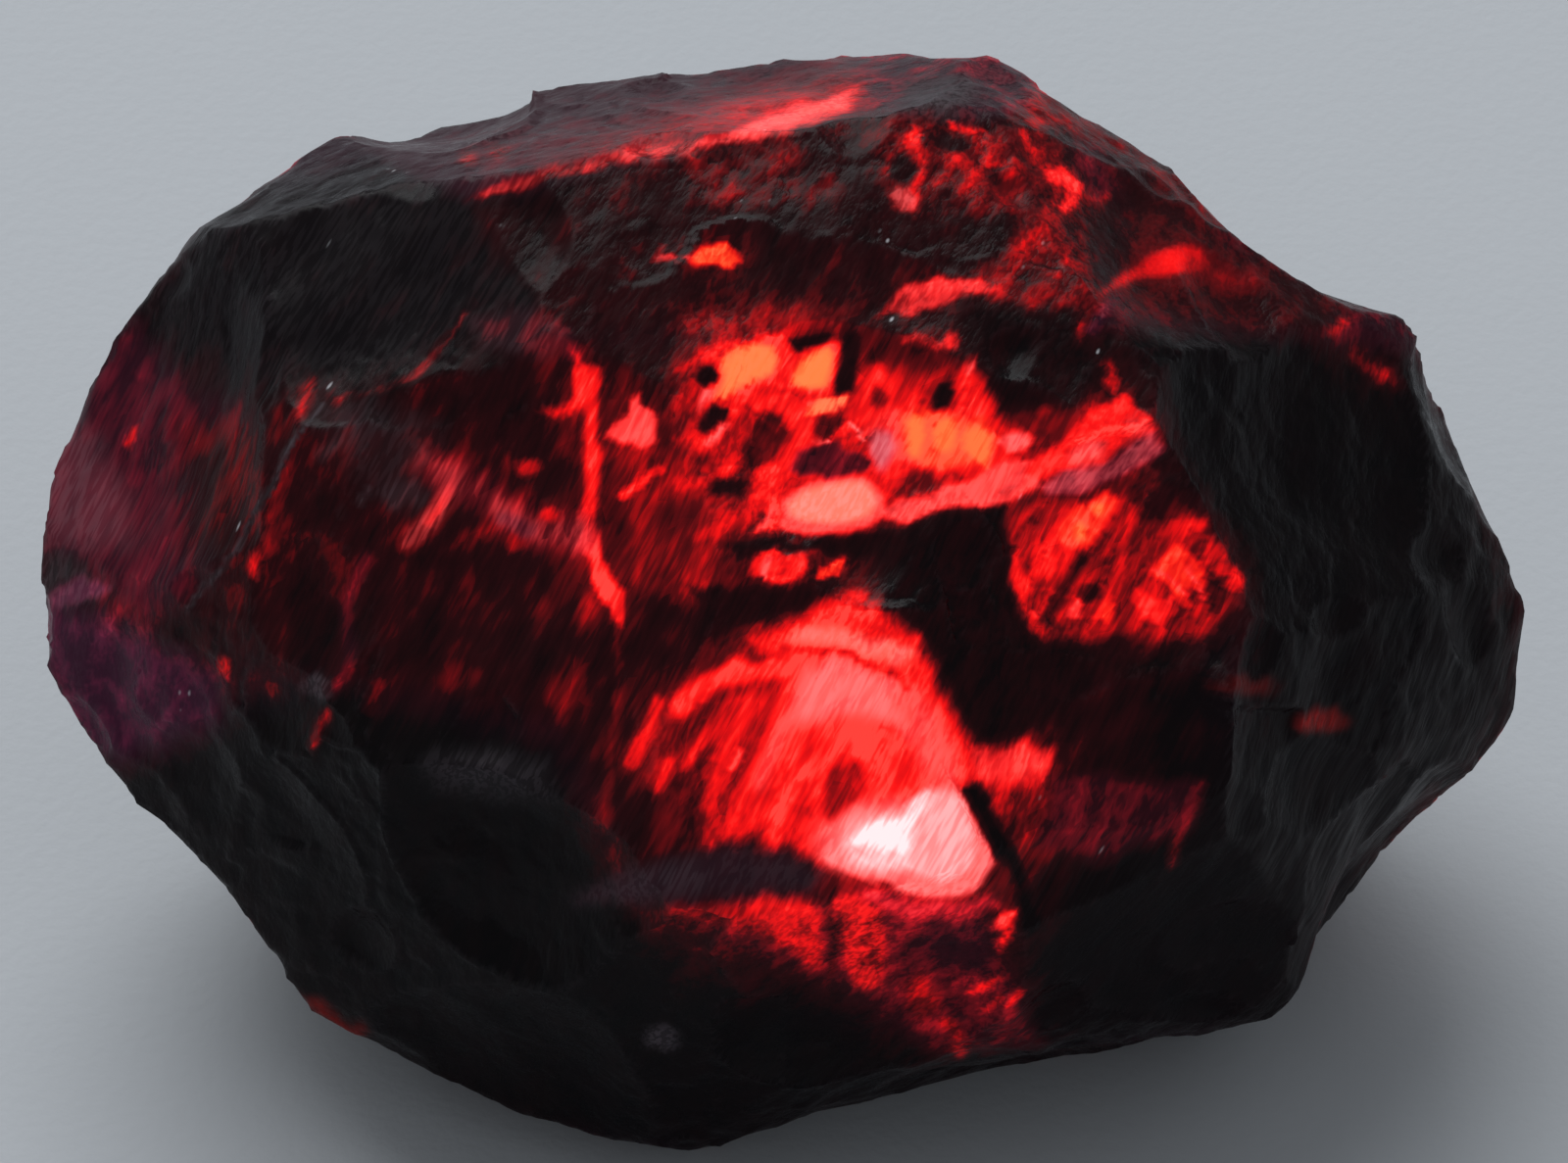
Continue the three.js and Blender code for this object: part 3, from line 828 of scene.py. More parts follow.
# %% The crown, in millimetres
LIGHTS |= {
    "grey patch of the crown": area([
        (1.81, 7.25), (2.14, 7.42), (2.66, 7.39), (2.83, 7.19), (2.51, 6.96), (2.14, 6.9), (1.68, 7.07)
    ], 0.38, heat=0.1, haze=0.45, green=0.4, grain=0.5),
    "crown squiggle": area([
        (1.82, 6.64), (1.91, 6.73), (2.04, 6.61), (2.07, 6.38), (1.97, 6.31), (1.86, 6.44)
    ], 0.09, heat=0.88),
    "squiggle's stem": line([(2.04, 6.41), (2.02, 6.09), (1.94, 5.77)], 0.12, 0.09, heat=0.68),
    "stroke by the squiggle": line([(1.55, 6.08), (1.65, 6.38)], 0.09, 0.09, heat=0.58),
    "short crown squiggle": line([(2.49, 6.81), (2.72, 6.74), (2.92, 6.63)], 0.09, 0.07, heat=0.84),
    "squiggle's blob": oval((2.89, 6.54), (0.09, 0.13), 0.12, heat=0.66),
    "crown stroke": line([(2.25, 5.86), (2.4, 6.09), (2.57, 6.32)], 0.13, 0.12, heat=0.54),
    "second crown stroke": line([(2.66, 5.74), (2.83, 6), (3.03, 6.24)], 0.17, 0.14, heat=0.52),
    "crown bar": area([
        (3.01, 6.18), (3.24, 6.26), (3.5, 6.21), (3.5, 6.05), (3.27, 6), (3.06, 6.03)
    ], 0.12, heat=0.62),
    "dull diagonal": line([(3.12, 4.27), (3.55, 4.76), (3.7, 5.11), (3.9, 5.48)], 0.23, 0.2, heat=0.48),
    "tick by the diagonal": line([(4.16, 4.76), (4.05, 4.47)], 0.06, 0.06, heat=0.6),
    "tick over the corner": line([(3.6, 3.92), (3.76, 4.15)], 0.09, 0.07, heat=0.58),
    "violet streak at the slope's foot": line([
        (4.57, 3.75), (4.74, 4.01), (4.97, 4.24)
    ], 0.16, 0.14, heat=0.44, violet=0.5, pale=0.3),
    "crown blotch": area([
        (1.52, 5.69), (1.62, 5.83), (1.88, 5.83), (1.99, 5.72), (1.94, 5.51), (1.73, 5.46),
        (1.56, 5.53)
    ], 0.14, heat=0.66, pale=0.3),
    "crown's right glow": oval((3.9, 6.93), (0.38, 0.26), 0.35, heat=0.64, grain=0.5),
    "crown arc": line([(3.53, 6.58), (3.64, 6.38), (3.79, 6.19)], 0.13, 0.12, heat=0.6),
    "crown hook": area([
        (3.9, 6.12), (4.06, 6.15), (4.39, 5.83), (4.34, 5.6), (4.16, 5.46), (4.05, 5.54), (4.21, 5.74),
        (3.9, 5.95)
    ], 0.09, heat=0.86, pale=0.1),
    "crown tick": line([(4.74, 5.64), (4.6, 5.28)], 0.13, 0.12, heat=0.66),
}
print("brushes of light so far:", len(LIGHTS))

# %% [markdown]
# ### The slope beside the crown
#
# Right of the crown the stone slopes away in a dull, even red. One streak crosses it, with a brighter
# heart and a tail that fades to the right.

# %% The slope beside the crown, in millimetres
LIGHTS |= {
    "slope's dull red": area([
        (4.84, 6.26), (5.71, 6.03), (6.56, 5.21), (7.23, 4.79), (8.58, 4.13), (7.95, 3.59),
        (6.79, 3.65), (5.23, 3.92), (4.7, 4.24), (4.93, 5.14)
    ], 0.64, heat=0.28, grain=0.4),
    "crown's right rim": line([
        (3.97, 7.07), (4.77, 6.55), (5.64, 6.05), (6.36, 5.47)
    ], 0.49, 0.49, heat=0.36, grain=0.5),
    "black beside the slope": area([
        (4.6, 5.57), (5, 5.66), (5.03, 4.73), (4.77, 4.47), (4.51, 5.08)
    ], 0.38, heat=0.12),
    "slope streak": area([
        (4.65, 4.24), (4.88, 4.47), (5.27, 4.7), (5.58, 4.89), (5.9, 4.98), (6.16, 4.88), (6.24, 4.7),
        (6.04, 4.59), (5.66, 4.52), (5.23, 4.47), (4.97, 4.36)
    ], 0.17, heat=0.68, grain=0.25, still=1),
    "slope streak's heart": oval((5.78, 4.76), (0.29, 0.13), 0.29, heat=0.84, grain=0.2, still=1),
    "slope streak's tail": line([
        (6.1, 4.65), (6.53, 4.53), (7.01, 4.49)
    ], 0.26, 0.52, heat=0.46, grain=0.3),
    "slope tick": line([(8.09, 3.69), (8.32, 3.89)], 0.14, 0.12, heat=0.5),
    "slope corner": line([(8.5, 3.35), (8.74, 3.14), (9.02, 2.91)], 0.26, 0.26, heat=0.52),
}
print("brushes of light so far:", len(LIGHTS))

# %% [markdown]
# ### The upper band
#
# A broad dark band runs under the crown. A small oval window and a few strokes, where layers of the
# crystal have parted, are all that breaks it.

# %% The upper band, in millimetres
LIGHTS |= {
    "small oval window": area([
        (-1.4, 4.76), (-1.23, 4.96), (-0.9, 5.02), (-0.65, 4.88), (-0.64, 4.7), (-0.87, 4.59),
        (-1.18, 4.62)
    ], 0.12, heat=0.9, warm=0.35, grain=0.5),
    "small window's tail": line([
        (-1.82, 4.99), (-1.89, 4.79), (-1.68, 4.79), (-1.42, 4.78)
    ], 0.09, 0.07, heat=0.66, pale=0.2),
    "mottled foot of the band": area([
        (-1.59, 4.1), (-0.43, 4.17), (0.87, 3.95), (0.72, 3.66), (-0.87, 3.69), (-1.59, 3.74)
    ], 0.43, heat=0.42),
    "upper stroke": area([
        (1.4, 3.92), (1.63, 4.26), (2.1, 4.41), (2.67, 4.5), (3.21, 4.37), (2.75, 4.23), (2.24, 4.05),
        (1.81, 3.92)
    ], 0.12, heat=0.72, pale=0.15, grain=0.6),
    "upper stroke's heart": line([
        (1.81, 4.27), (2.31, 4.39), (2.89, 4.39)
    ], 0.13, 0.17, heat=0.86, pale=0.2),
    "lower stroke": line([(1.76, 3.63), (2.17, 3.53), (2.43, 3.52)], 0.12, 0.12, heat=0.62, pale=0.15),
    "lower stroke's end": oval((2.49, 3.58), (0.13, 0.14), 0.12, heat=0.78, pale=0.1),
    "streak by the corner": line([(4.39, 3.81), (4.32, 3.35)], 0.12, 0.09, heat=0.68),
    "streak to the basin": line([(4.51, 3.32), (4.12, 2.85), (3.87, 2.54)], 0.16, 0.14, heat=0.6),
    "root of the blade": area([
        (4.6, 3.26), (4.86, 3.26), (5, 2.91), (4.86, 2.77), (4.68, 2.94)
    ], 0.14, heat=0.78),
}
print("brushes of light so far:", len(LIGHTS))

# %% [markdown]
# ### The glowing basin
#
# Here the crystal is shattered right through, and this is the brightest red of all. It starts as a
# frayed scarlet ground. The clear orange panes on it are still outlines, so each looks set into the
# stone.

# %% The glowing basin, in millimetres
LIGHTS |= {
    "basin": area([
        (-1.59, 3.2), (-1.23, 3.45), (-0.79, 3.59), (-0.36, 3.66), (0, 3.59), (0.87, 3.49),
        (1.45, 3.16), (2.89, 3.16), (3.25, 2.36), (3.76, 1.86), (3.32, 1.35), (1.45, 0.92), (0, 1.06),
        (-0.58, 1.67), (-1.59, 1.93), (-1.73, 2.51)
    ], 0.35, heat=0.58),
    "basin's upper left": area([
        (-1.56, 3.09), (-1.24, 3.4), (-0.79, 3.52), (-0.4, 3.65), (-0.03, 3.62), (0, 3.49),
        (0.84, 3.53), (0.84, 3.35), (0.69, 2.8), (0.43, 2.74), (-0.14, 2.85), (-0.87, 2.68),
        (-1.04, 2.8), (-0.9, 3.2), (-1.27, 3.29)
    ], 0.12, heat=0.86, grain=0.7),
    "left orange window": area([
        (-0.91, 3.29), (-0.69, 3.46), (-0.43, 3.52), (-0.17, 3.46), (-0.1, 3.26), (-0.19, 3.06),
        (-0.43, 2.97), (-0.65, 2.88), (-0.87, 2.72), (-1, 2.68), (-0.9, 3.01)
    ], 0.12, heat=0.98, warm=0.65, pale=0.15, grain=0.4, still=1),
    "middle orange window": area([
        (0.23, 3.23), (0.46, 3.4), (0.66, 3.46), (0.72, 3.35), (0.69, 3.11), (0.61, 2.88),
        (0.32, 2.85), (0.12, 2.93), (0.16, 3.11)
    ], 0.12, heat=0.98, warm=0.7, pale=0.12, grain=0.4, still=1),
    "orange row": area([
        (0.33, 2.45), (0.4, 2.62), (0.55, 2.71), (0.75, 2.72), (0.98, 2.8), (0.92, 2.62), (0.75, 2.49),
        (0.55, 2.48)
    ], 0.09, heat=0.94, warm=0.55, pale=0.2, still=1),
    "red under the windows": area([
        (-0.94, 2.68), (-0.51, 2.77), (0, 2.77), (0.43, 2.62), (0.29, 2.42), (-0.29, 2.51),
        (-0.79, 2.48)
    ], 0.14, heat=0.82),
    "red by the left holes": area([
        (-1.68, 2.15), (-1.45, 2.2), (-1.1, 2.15), (-0.98, 2), (-1.1, 1.87), (-1.45, 1.93)
    ], 0.12, heat=0.86),
    "pale tick of the holes": line([(-1.1, 2.02), (-0.9, 2.3)], 0.12, 0.07, heat=0.95, pale=0.3),
    "thread between the holes": area([
        (-1.33, 2.2), (-1.27, 2.45), (-1.24, 2.68), (-1.18, 2.85), (-1.07, 2.91), (-1.05, 2.77),
        (-1.18, 2.57)
    ], 0.07, heat=0.92, pale=0.3, still=1),
}
print("brushes of light so far:", len(LIGHTS))

# %% [markdown]
# ### The basin's right window
#
# The right window is a pane too, with three upright columns where it is thinnest. Painting the columns
# one by one keeps the gaps between them red, which a single orange outline wouldn't.

# %% The basin's right window, in millimetres
LIGHTS |= {
    "wedge above the windows": area([
        (1.21, 3.2), (1.36, 3.29), (1.66, 2.97), (1.62, 2.77), (1.37, 2.62), (1.21, 2.33),
        (1.04, 2.39), (1.13, 2.83)
    ], 0.17, heat=0.76),
    "red column": area([
        (1.27, 2.45), (1.62, 2.65), (1.76, 2.51), (1.76, 1.81), (1.52, 1.7), (1.21, 1.9), (1.13, 2.22)
    ], 0.2, heat=0.84, pale=0.1),
    "violet window": oval((1.42, 1.96), (0.17, 0.29), 0.14, heat=0.66, pale=0.35, violet=0.35, grain=0.3),
    "basin's right shoulder": area([
        (2.57, 3.11), (2.89, 3.11), (3.09, 2.8), (3.18, 2.28), (3.12, 1.78), (2.75, 1.64),
        (1.88, 1.67), (1.76, 2.36), (1.95, 2.8), (2.53, 2.51)
    ], 0.2, heat=0.84),
    "right window": area([
        (1.76, 2.43), (2.1, 2.57), (2.89, 2.43), (3.12, 2.15), (3.01, 1.73), (2.02, 1.7), (1.76, 1.9)
    ], 0.17, heat=0.88, warm=0.2, grain=0.5),
    "first column of the right window": area([
        (1.82, 2.36), (1.94, 2.48), (2.05, 2.39), (2.07, 2.13), (1.99, 1.86), (1.85, 1.84)
    ], 0.1, heat=0.97, warm=0.55, grain=0.4, still=1),
    "second column": area([
        (2.2, 2.22), (2.31, 2.39), (2.46, 2.42), (2.54, 2.25), (2.53, 2.04), (2.43, 1.9), (2.25, 1.96)
    ], 0.12, heat=0.96, warm=0.55, grain=0.4, still=1),
    "third column": area([
        (2.64, 2.16), (2.77, 2.3), (2.93, 2.28), (3.06, 2.13), (3.06, 1.9), (2.98, 1.7), (2.82, 1.81),
        (2.66, 1.96)
    ], 0.12, heat=0.96, warm=0.52, grain=0.4, still=1),
    "glint above it": line([(2.82, 3.36), (2.72, 3.11)], 0.1, 0.06, heat=0.98, pale=0.3),
    "pink crumb": area([
        (3.16, 2.02), (3.25, 2.19), (3.58, 2.26), (3.7, 2.1), (3.53, 1.93), (3.32, 1.87)
    ], 0.09, heat=0.84, pale=0.3),
}
print("brushes of light so far:", len(LIGHTS))

# %% [markdown]
# ### The blade
#
# A thin sheet runs right and up from the basin like a blade. Its ledge and its belly are paler than the
# sheet, and its lower side is a dim violet pink: the change of tone is what gives it thickness.

# %% The blade, in millimetres
LIGHTS |= {
    "ledge of the blade": area([
        (1.45, 1.06), (1.81, 1.24), (2.24, 1.35), (2.67, 1.45), (3.03, 1.64), (3.47, 1.81),
        (3.82, 1.84), (3.76, 1.35), (3.32, 1.15), (2.67, 1.08), (2.17, 1), (1.81, 0.9), (1.52, 0.92)
    ], 0.12, heat=0.92, pale=0.22, grain=0.5),
    "blade": area([
        (3.55, 1.64), (3.79, 1.9), (4.13, 2.07), (4.26, 2.29), (4.62, 2.58), (4.99, 2.75),
        (5.17, 2.72), (5.38, 2.43), (5.46, 2.22), (5.06, 2.04), (4.77, 1.78), (4.12, 1.64),
        (3.82, 1.47)
    ], 0.12, heat=0.83, grain=0.4),
    "lighter belly of the blade": area([
        (4.12, 1.81), (4.41, 2.07), (4.77, 2.04), (4.74, 1.81), (4.34, 1.7)
    ], 0.2, heat=0.88, pale=0.25, grain=0.8),
    "blade's pale end": oval((5.23, 2.3), (0.2, 0.14), 0.17, heat=0.86, pale=0.2),
    "blade's lower side": area([
        (3.79, 1.38), (4.12, 1.63), (4.77, 1.76), (5.09, 2.02), (5.43, 2.22), (5.72, 2), (5.35, 1.78),
        (4.91, 1.5), (4.48, 1.35), (3.84, 1.21)
    ], 0.12, heat=0.57, pale=0.25, violet=0.3, grain=0.5),
}
print("brushes of light so far:", len(LIGHTS))

# %% [markdown]
# ### The pink oval
#
# A smooth oval pane at the basin's foot sends its light straight to the eye, so it is pink and has
# almost no grain. Its two ends differ, so it is an outline and not an oval brush.

# %% The pink oval, in millimetres
LIGHTS |= {
    "pink oval window": area([
        (-0.17, 1), (-0.03, 1.24), (0.17, 1.37), (0.35, 1.47), (0.58, 1.54), (0.9, 1.57), (1.16, 1.57),
        (1.34, 1.47), (1.46, 1.28), (1.52, 1.09), (1.42, 0.92), (1.24, 0.8), (0.94, 0.73),
        (0.58, 0.69), (0.17, 0.7), (-0.06, 0.77)
    ], 0.12, heat=0.92, pale=0.2, grain=0.15, still=1),
    "pink oval's heart": area([
        (0.06, 1.15), (0.29, 1.34), (0.55, 1.42), (0.9, 1.48), (1.16, 1.48), (1.3, 1.35), (1.36, 1.16),
        (1.27, 1), (1.01, 0.9), (0.65, 0.87), (0.29, 0.9), (0.09, 0.99)
    ], 0.14, heat=0.98, pale=0.43, warm=0.3, grain=0.15, still=1),
    "oval's ragged tail": area([
        (-0.49, 1.5), (-0.26, 1.76), (-0.06, 1.64), (-0.09, 1.28), (0, 0.92), (-0.17, 0.72),
        (-0.35, 0.77), (-0.29, 1.06), (-0.64, 0.74), (-0.72, 0.83)
    ], 0.12, heat=0.84),
    "pale tick of the tail": line([(-0.17, 1), (-0.38, 0.77)], 0.12, 0.07, heat=0.94, pale=0.2),
    "bright row": area([
        (-0.55, 0.08), (-0.53, 0.24), (-0.35, 0.4), (0, 0.46), (0.27, 0.48), (0.32, 0.12), (0, -0.02),
        (-0.26, 0.04)
    ], 0.09, heat=0.86, grain=0.5),
    "bright row's second": area([
        (0.49, 0.02), (0.58, 0.24), (0.9, 0.33), (0.9, 0.2), (0.79, 0.01)
    ], 0.09, heat=0.86, warm=0.15),
    "pale tick of the row": line([(-0.23, 0.28), (-0.32, 0.08)], 0.12, 0.07, heat=0.94, pale=0.25),
}
print("brushes of light so far:", len(LIGHTS))

# %% [markdown]
# ### Veins left of the basin
#
# Left of the basin the light thins out over a mottled slope into one long vein, with a pink knot
# beside it. The vein is a line with ragged outlines for its head and root, where it widens.

# %% Veins left of the basin, in millimetres
LIGHTS |= {
    "mottled slope": area([
        (-2.31, 2.22), (-1.45, 2.07), (-0.43, 1.5), (-0.58, -0.09), (-1.45, -0.38), (-2.31, -0.09)
    ], 0.43, heat=0.46),
    "slope's first spot": oval((-0.79, 1.67), (0.13, 0.19), 0.12, heat=0.82),
    "slope's second spot": oval((-1.42, 1.47), (0.17, 0.14), 0.12, heat=0.68),
    "slope's third spot": line([(-1.27, 0.66), (-0.94, 0.77), (-0.79, 0.95)], 0.19, 0.12, heat=0.66),
    "slanting tick": line([(-2.4, 1.26), (-2.1, 1.5), (-1.85, 1.67)], 0.13, 0.09, heat=0.87),
    "red above the vein": area([
        (-3.54, 3.81), (-3.18, 3.74), (-2.96, 3.3), (-3.18, 3.26)
    ], 0.23, heat=0.55, violet=0.2),
    "vein's head": area([
        (-3.18, 3.55), (-3.06, 3.35), (-2.89, 3.2), (-2.69, 3.17), (-2.66, 2.91), (-2.8, 2.68),
        (-3.01, 2.65), (-3.06, 2.91), (-3.09, 3.14)
    ], 0.12, heat=0.88),
    "vein's arm": area([
        (-3.68, 2.51), (-3.32, 2.62), (-3.01, 2.8), (-2.98, 2.59), (-3.32, 2.48)
    ], 0.14, heat=0.74),
    "vein": line([(-2.89, 2.8), (-2.83, 2.22), (-2.8, 1.64), (-2.89, 1.06)], 0.22, 0.17, heat=0.88),
    "vein's root": area([
        (-3.06, 1.03), (-2.8, 1.03), (-2.72, 0.48), (-2.49, -0.09), (-2.31, -0.14), (-2.37, -0.7),
        (-2.49, -0.64), (-2.83, 0.05), (-3.01, 0.54)
    ], 0.12, heat=0.92, pale=0.05),
    "vein's thread": line([
        (-2.44, -0.67), (-2.46, -1.54), (-2.57, -2.7), (-2.66, -3.71)
    ], 0.12, 0.14, heat=0.4),
    "pink knot": area([
        (-2.63, 2.19), (-2.43, 2.36), (-2.31, 2.45), (-2.3, 2.71), (-2.17, 2.8), (-1.99, 2.59),
        (-1.85, 2.45), (-1.88, 2.13), (-2.08, 1.99), (-2.4, 1.99)
    ], 0.12, heat=0.9, pale=0.22, grain=0.4),
}
print("brushes of light so far:", len(LIGHTS))

# %% [markdown]
# ### The greyed left
#
# Left of the vein a thin grey, a painted sheen and partly dust, lies over the light. A salmon thread, a
# salmon stroke and one dull pink band show through it.

# %% The greyed left, in millimetres
LIGHTS |= {
    "dusty cloud by the salmon stroke": area([
        (-6.97, 2.51), (-6.21, 2.72), (-5.2, 2.22), (-4.8, 1.35), (-5.35, 1.03), (-6.21, 1.5)
    ], 0.72, heat=0.25, haze=0.2, grain=0.6),
    "dusty pink over the thread": area([
        (-4.68, 3.89), (-3.76, 4.04), (-3.15, 3.59), (-3.47, 3.32), (-4.34, 3.49)
    ], 0.38, heat=0.34, haze=0.2, violet=0.12),
    "thin salmon thread": line([
        (-4.71, 3.97), (-4.88, 3.63), (-5.07, 3.43), (-5.43, 3.07), (-5.78, 2.88), (-6.07, 2.8),
        (-6.6, 2.71)
    ], 0.09, 0.06, heat=0.5, pale=0.35, grain=0.4),
    "salmon stroke": area([
        (-5.72, 0.48), (-5.58, 0.8), (-5.35, 1.09), (-5.12, 1.35), (-4.91, 1.47), (-4.8, 1.35),
        (-4.91, 1.03), (-5.12, 0.72), (-5.38, 0.51), (-5.61, 0.4)
    ], 0.2, heat=0.6, pale=0.25),
    "salmon stroke's heart": line([
        (-5.23, 0.92), (-5.06, 1.21), (-4.94, 1.35)
    ], 0.13, 0.12, heat=0.86, pale=0.2),
    "dull band": line([
        (-5.13, 1.67), (-4.62, 1.38), (-4.05, 1), (-3.64, 0.74), (-3.09, 0.69)
    ], 0.58, 0.52, heat=0.54, pale=0.2, violet=0.1),
}
print("brushes of light so far:", len(LIGHTS))

# %% [markdown]
# ### Dots, threads and clouds
#
# What is left here is small: dots, threads and faint clouds, a few of them on the left lobes. Most are
# a single oval or line, because at this size only their place and strength are seen.

# %% Dots, threads and clouds, in millimetres
LIGHTS |= {
    "dull dot": oval((-3.76, 1.71), (0.16, 0.14), 0.14, heat=0.62),
    "second dull dot": oval((-3.47, 0.96), (0.13, 0.12), 0.12, heat=0.64),
    "dull curve": line([
        (-6.58, 2.65), (-6.07, 2.8), (-5.56, 3.01), (-5.2, 3.32), (-4.91, 3.74)
    ], 0.1, 0.09, heat=0.38),
    "red beside the crack": line([(-7.77, 0.48), (-7.59, 0.99), (-7.34, 1.64)], 0.29, 0.29, heat=0.42),
    "spot on the crack": oval((-7.82, 0.25), (0.1, 0.17), 0.09, heat=0.68),
    "tick above the crack": line([(-7.2, 2.45), (-7.08, 2.72), (-6.97, 3)], 0.13, 0.14, heat=0.5),
    "long dull thread": line([
        (-6.13, 0.37), (-6.33, 0.02), (-6.47, -0.33), (-6.45, -0.67), (-6.39, -1.03), (-6.5, -1.37),
        (-6.68, -1.63)
    ], 0.19, 0.17, heat=0.39, violet=0.15),
    "thread's foot": line([(-6.78, -1.94), (-6.94, -2.38)], 0.16, 0.12, heat=0.47),
    "short dull thread": line([(-5.98, -1.54), (-6.13, -1.91)], 0.17, 0.14, heat=0.42),
    "red at the dull band": oval((-3.95, 0.6), (0.14, 0.13), 0.12, heat=0.6),
    "dull patch": area([
        (-5.03, 0.46), (-4.77, 0.7), (-4.34, 0.95), (-4.22, 0.77), (-4.45, 0.54), (-4.83, 0.34)
    ], 0.23, heat=0.46),
    "haze on the dull band": line([
        (-4.13, 0.95), (-3.76, 0.76)
    ], 0.2, 0.2, heat=0.44, pale=0.25, violet=0.3),
    "third dull dot": oval((-4.1, 1.73), (0.09, 0.13), 0.12, heat=0.42),
    "dull cloud": oval((-3.68, -0.27), (0.16, 0.29), 0.23, heat=0.35),
    "second dull cloud": oval((-2.89, -0.44), (0.16, 0.23), 0.23, heat=0.42),
    "third dull cloud": oval((-3.18, -1.65), (0.26, 0.46), 0.29, heat=0.36),
    "fourth dull cloud": oval((-4.8, -1.45), (0.35, 0.2), 0.23, heat=0.34),
    "left spot": oval((-8.27, -1.25), (0.1, 0.16), 0.09, heat=0.5),
    "second left spot": oval((-7.54, -1.6), (0.13, 0.12), 0.12, heat=0.4),
    "lobe's tick": line([(-9.68, 2.04), (-9.57, 2.28)], 0.12, 0.07, heat=0.6),
    "lobe's bright rib": area([
        (-10.87, -0.27), (-10.72, -0.04), (-10.35, 0.11), (-9.97, -0.09), (-10.17, -0.25),
        (-10.75, -0.38)
    ], 0.14, heat=0.46, violet=0.9, haze=0.35, grain=0.3),
}
print("brushes of light so far:", len(LIGHTS))

# %% [markdown]
# ### The pocket on the right
#
# A hollow on the right is split into cells. Each cell is an outline of its own on a dim red ground,
# and the gaps between the outlines are the walls.

# %% The pocket on the right, in millimetres
LIGHTS |= {
    "pocket": area([
        (3.29, 0.54), (3.38, 0.95), (3.79, 1.18), (5.06, 1.26), (5.29, 0.92), (5.78, 0.89),
        (6.1, 0.99), (6.79, 0.05), (6.68, -0.33), (6.27, -0.82), (5.64, -0.9), (5.06, -0.7),
        (4.48, -0.85), (3.76, -0.76), (3.38, -0.33)
    ], 0.17, heat=0.5),
    "pocket's roof": line([
        (5.4, 0.4), (5.78, 0.74), (5.98, 0.92), (6.3, 0.54), (6.65, 0.2)
    ], 0.17, 0.2, heat=0.54),
    "pocket's floor": line([(5.14, -0.67), (5.55, -0.82), (5.95, -0.67)], 0.26, 0.23, heat=0.5),
    "pocket's top window": area([
        (4.06, 0.59), (4.05, 0.77), (4.16, 0.95), (4.28, 1.12), (4.6, 1.22), (4.77, 1.38),
        (4.93, 1.18), (4.88, 1.05), (4.71, 0.86), (4.65, 0.69), (4.58, 0.53), (4.31, 0.48)
    ], 0.12, heat=0.87, warm=0.12, grain=0.5, still=1),
    "orange in the top window": oval((4.38, 0.74), (0.09, 0.13), 0.09, heat=0.95, warm=0.5, still=1),
    "second orange there": oval((4.65, 1.08), (0.1, 0.09), 0.09, heat=0.95, warm=0.5, still=1),
    "streak beside the top window": line([
        (4.71, 0.4), (4.86, 0.6), (5.06, 0.83), (5.17, 1.03)
    ], 0.14, 0.12, heat=0.7),
    "pocket's left arc": area([
        (3.27, 0.17), (3.38, 0.46), (3.5, 0.37), (3.53, 0.11), (3.63, -0.09), (3.55, -0.28),
        (3.41, -0.3), (3.32, -0.07)
    ], 0.12, heat=0.83, grain=0.5),
    "pocket's lower arc": area([
        (3.53, -0.4), (3.7, -0.44), (3.87, -0.34), (4.05, -0.24), (4.02, -0.41), (3.9, -0.54),
        (3.7, -0.54)
    ], 0.09, heat=0.87, pale=0.1, grain=0.4, still=1),
    "inside the left arc": oval((3.82, 0.27), (0.17, 0.26), 0.14, heat=0.75),
    "below the left arc": oval((3.73, -0.7), (0.2, 0.13), 0.14, heat=0.62),
    "pocket's lower spot": area([
        (4.12, -0.51), (4.21, -0.35), (4.34, -0.24), (4.42, -0.35), (4.36, -0.56)
    ], 0.07, heat=0.88, pale=0.15, still=1),
    "pocket's second lower spot": area([
        (4.64, -0.54), (4.74, -0.33), (4.86, -0.22), (4.88, -0.44), (4.81, -0.61)
    ], 0.09, heat=0.85, warm=0.1, still=1),
}
print("brushes of light so far:", len(LIGHTS))

# %% [markdown]
# ### The pocket's right cells
#
# The right half holds two large cells. Their ribs are thin bright lines laid over the cells, kept
# still, so they read as the edges of standing layers.

# %% The pocket's right cells, in millimetres
LIGHTS |= {
    "pocket's right cell": area([
        (5.38, 0.15), (5.59, 0.38), (5.82, 0.59), (6, 0.4), (6.23, 0.11), (6.21, -0.17), (6, -0.05),
        (5.88, -0.18), (6.05, -0.41), (5.88, -0.34), (5.64, -0.02)
    ], 0.1, heat=0.86, warm=0.12, grain=0.5, still=1),
    "cell's rib": line([
        (5.46, 0.18), (5.72, 0.05), (5.94, -0.2)
    ], 0.07, 0.06, heat=0.96, pale=0.15, still=1),
    "cell's second rib": line([
        (5.95, 0.21), (6.1, -0.01), (6.2, -0.22)
    ], 0.07, 0.06, heat=0.96, pale=0.2, still=1),
    "pocket's lower cell": area([
        (5.13, -0.22), (5.2, -0.08), (5.35, -0.17), (5.49, -0.27), (5.68, -0.25), (5.61, -0.48),
        (5.52, -0.61), (5.35, -0.61), (5.23, -0.44)
    ], 0.12, heat=0.83, grain=0.5, still=1),
    "lower cell's rib": line([
        (5.68, -0.25), (5.59, -0.43), (5.49, -0.59)
    ], 0.06, 0.06, heat=0.94, pale=0.15, still=1),
    "pocket's right edge": oval((6.65, 0.01), (0.12, 0.16), 0.12, heat=0.84, still=1),
}
print("brushes of light so far:", len(LIGHTS))

# %% [markdown]
# ### The shell scar
#
# The great scar below the basin is a fan of rings, as in a shell. The fan is one ragged outline, with
# paler arcs, fingers and teeth on it. Its rings are added further on, as noise that runs round its eye.

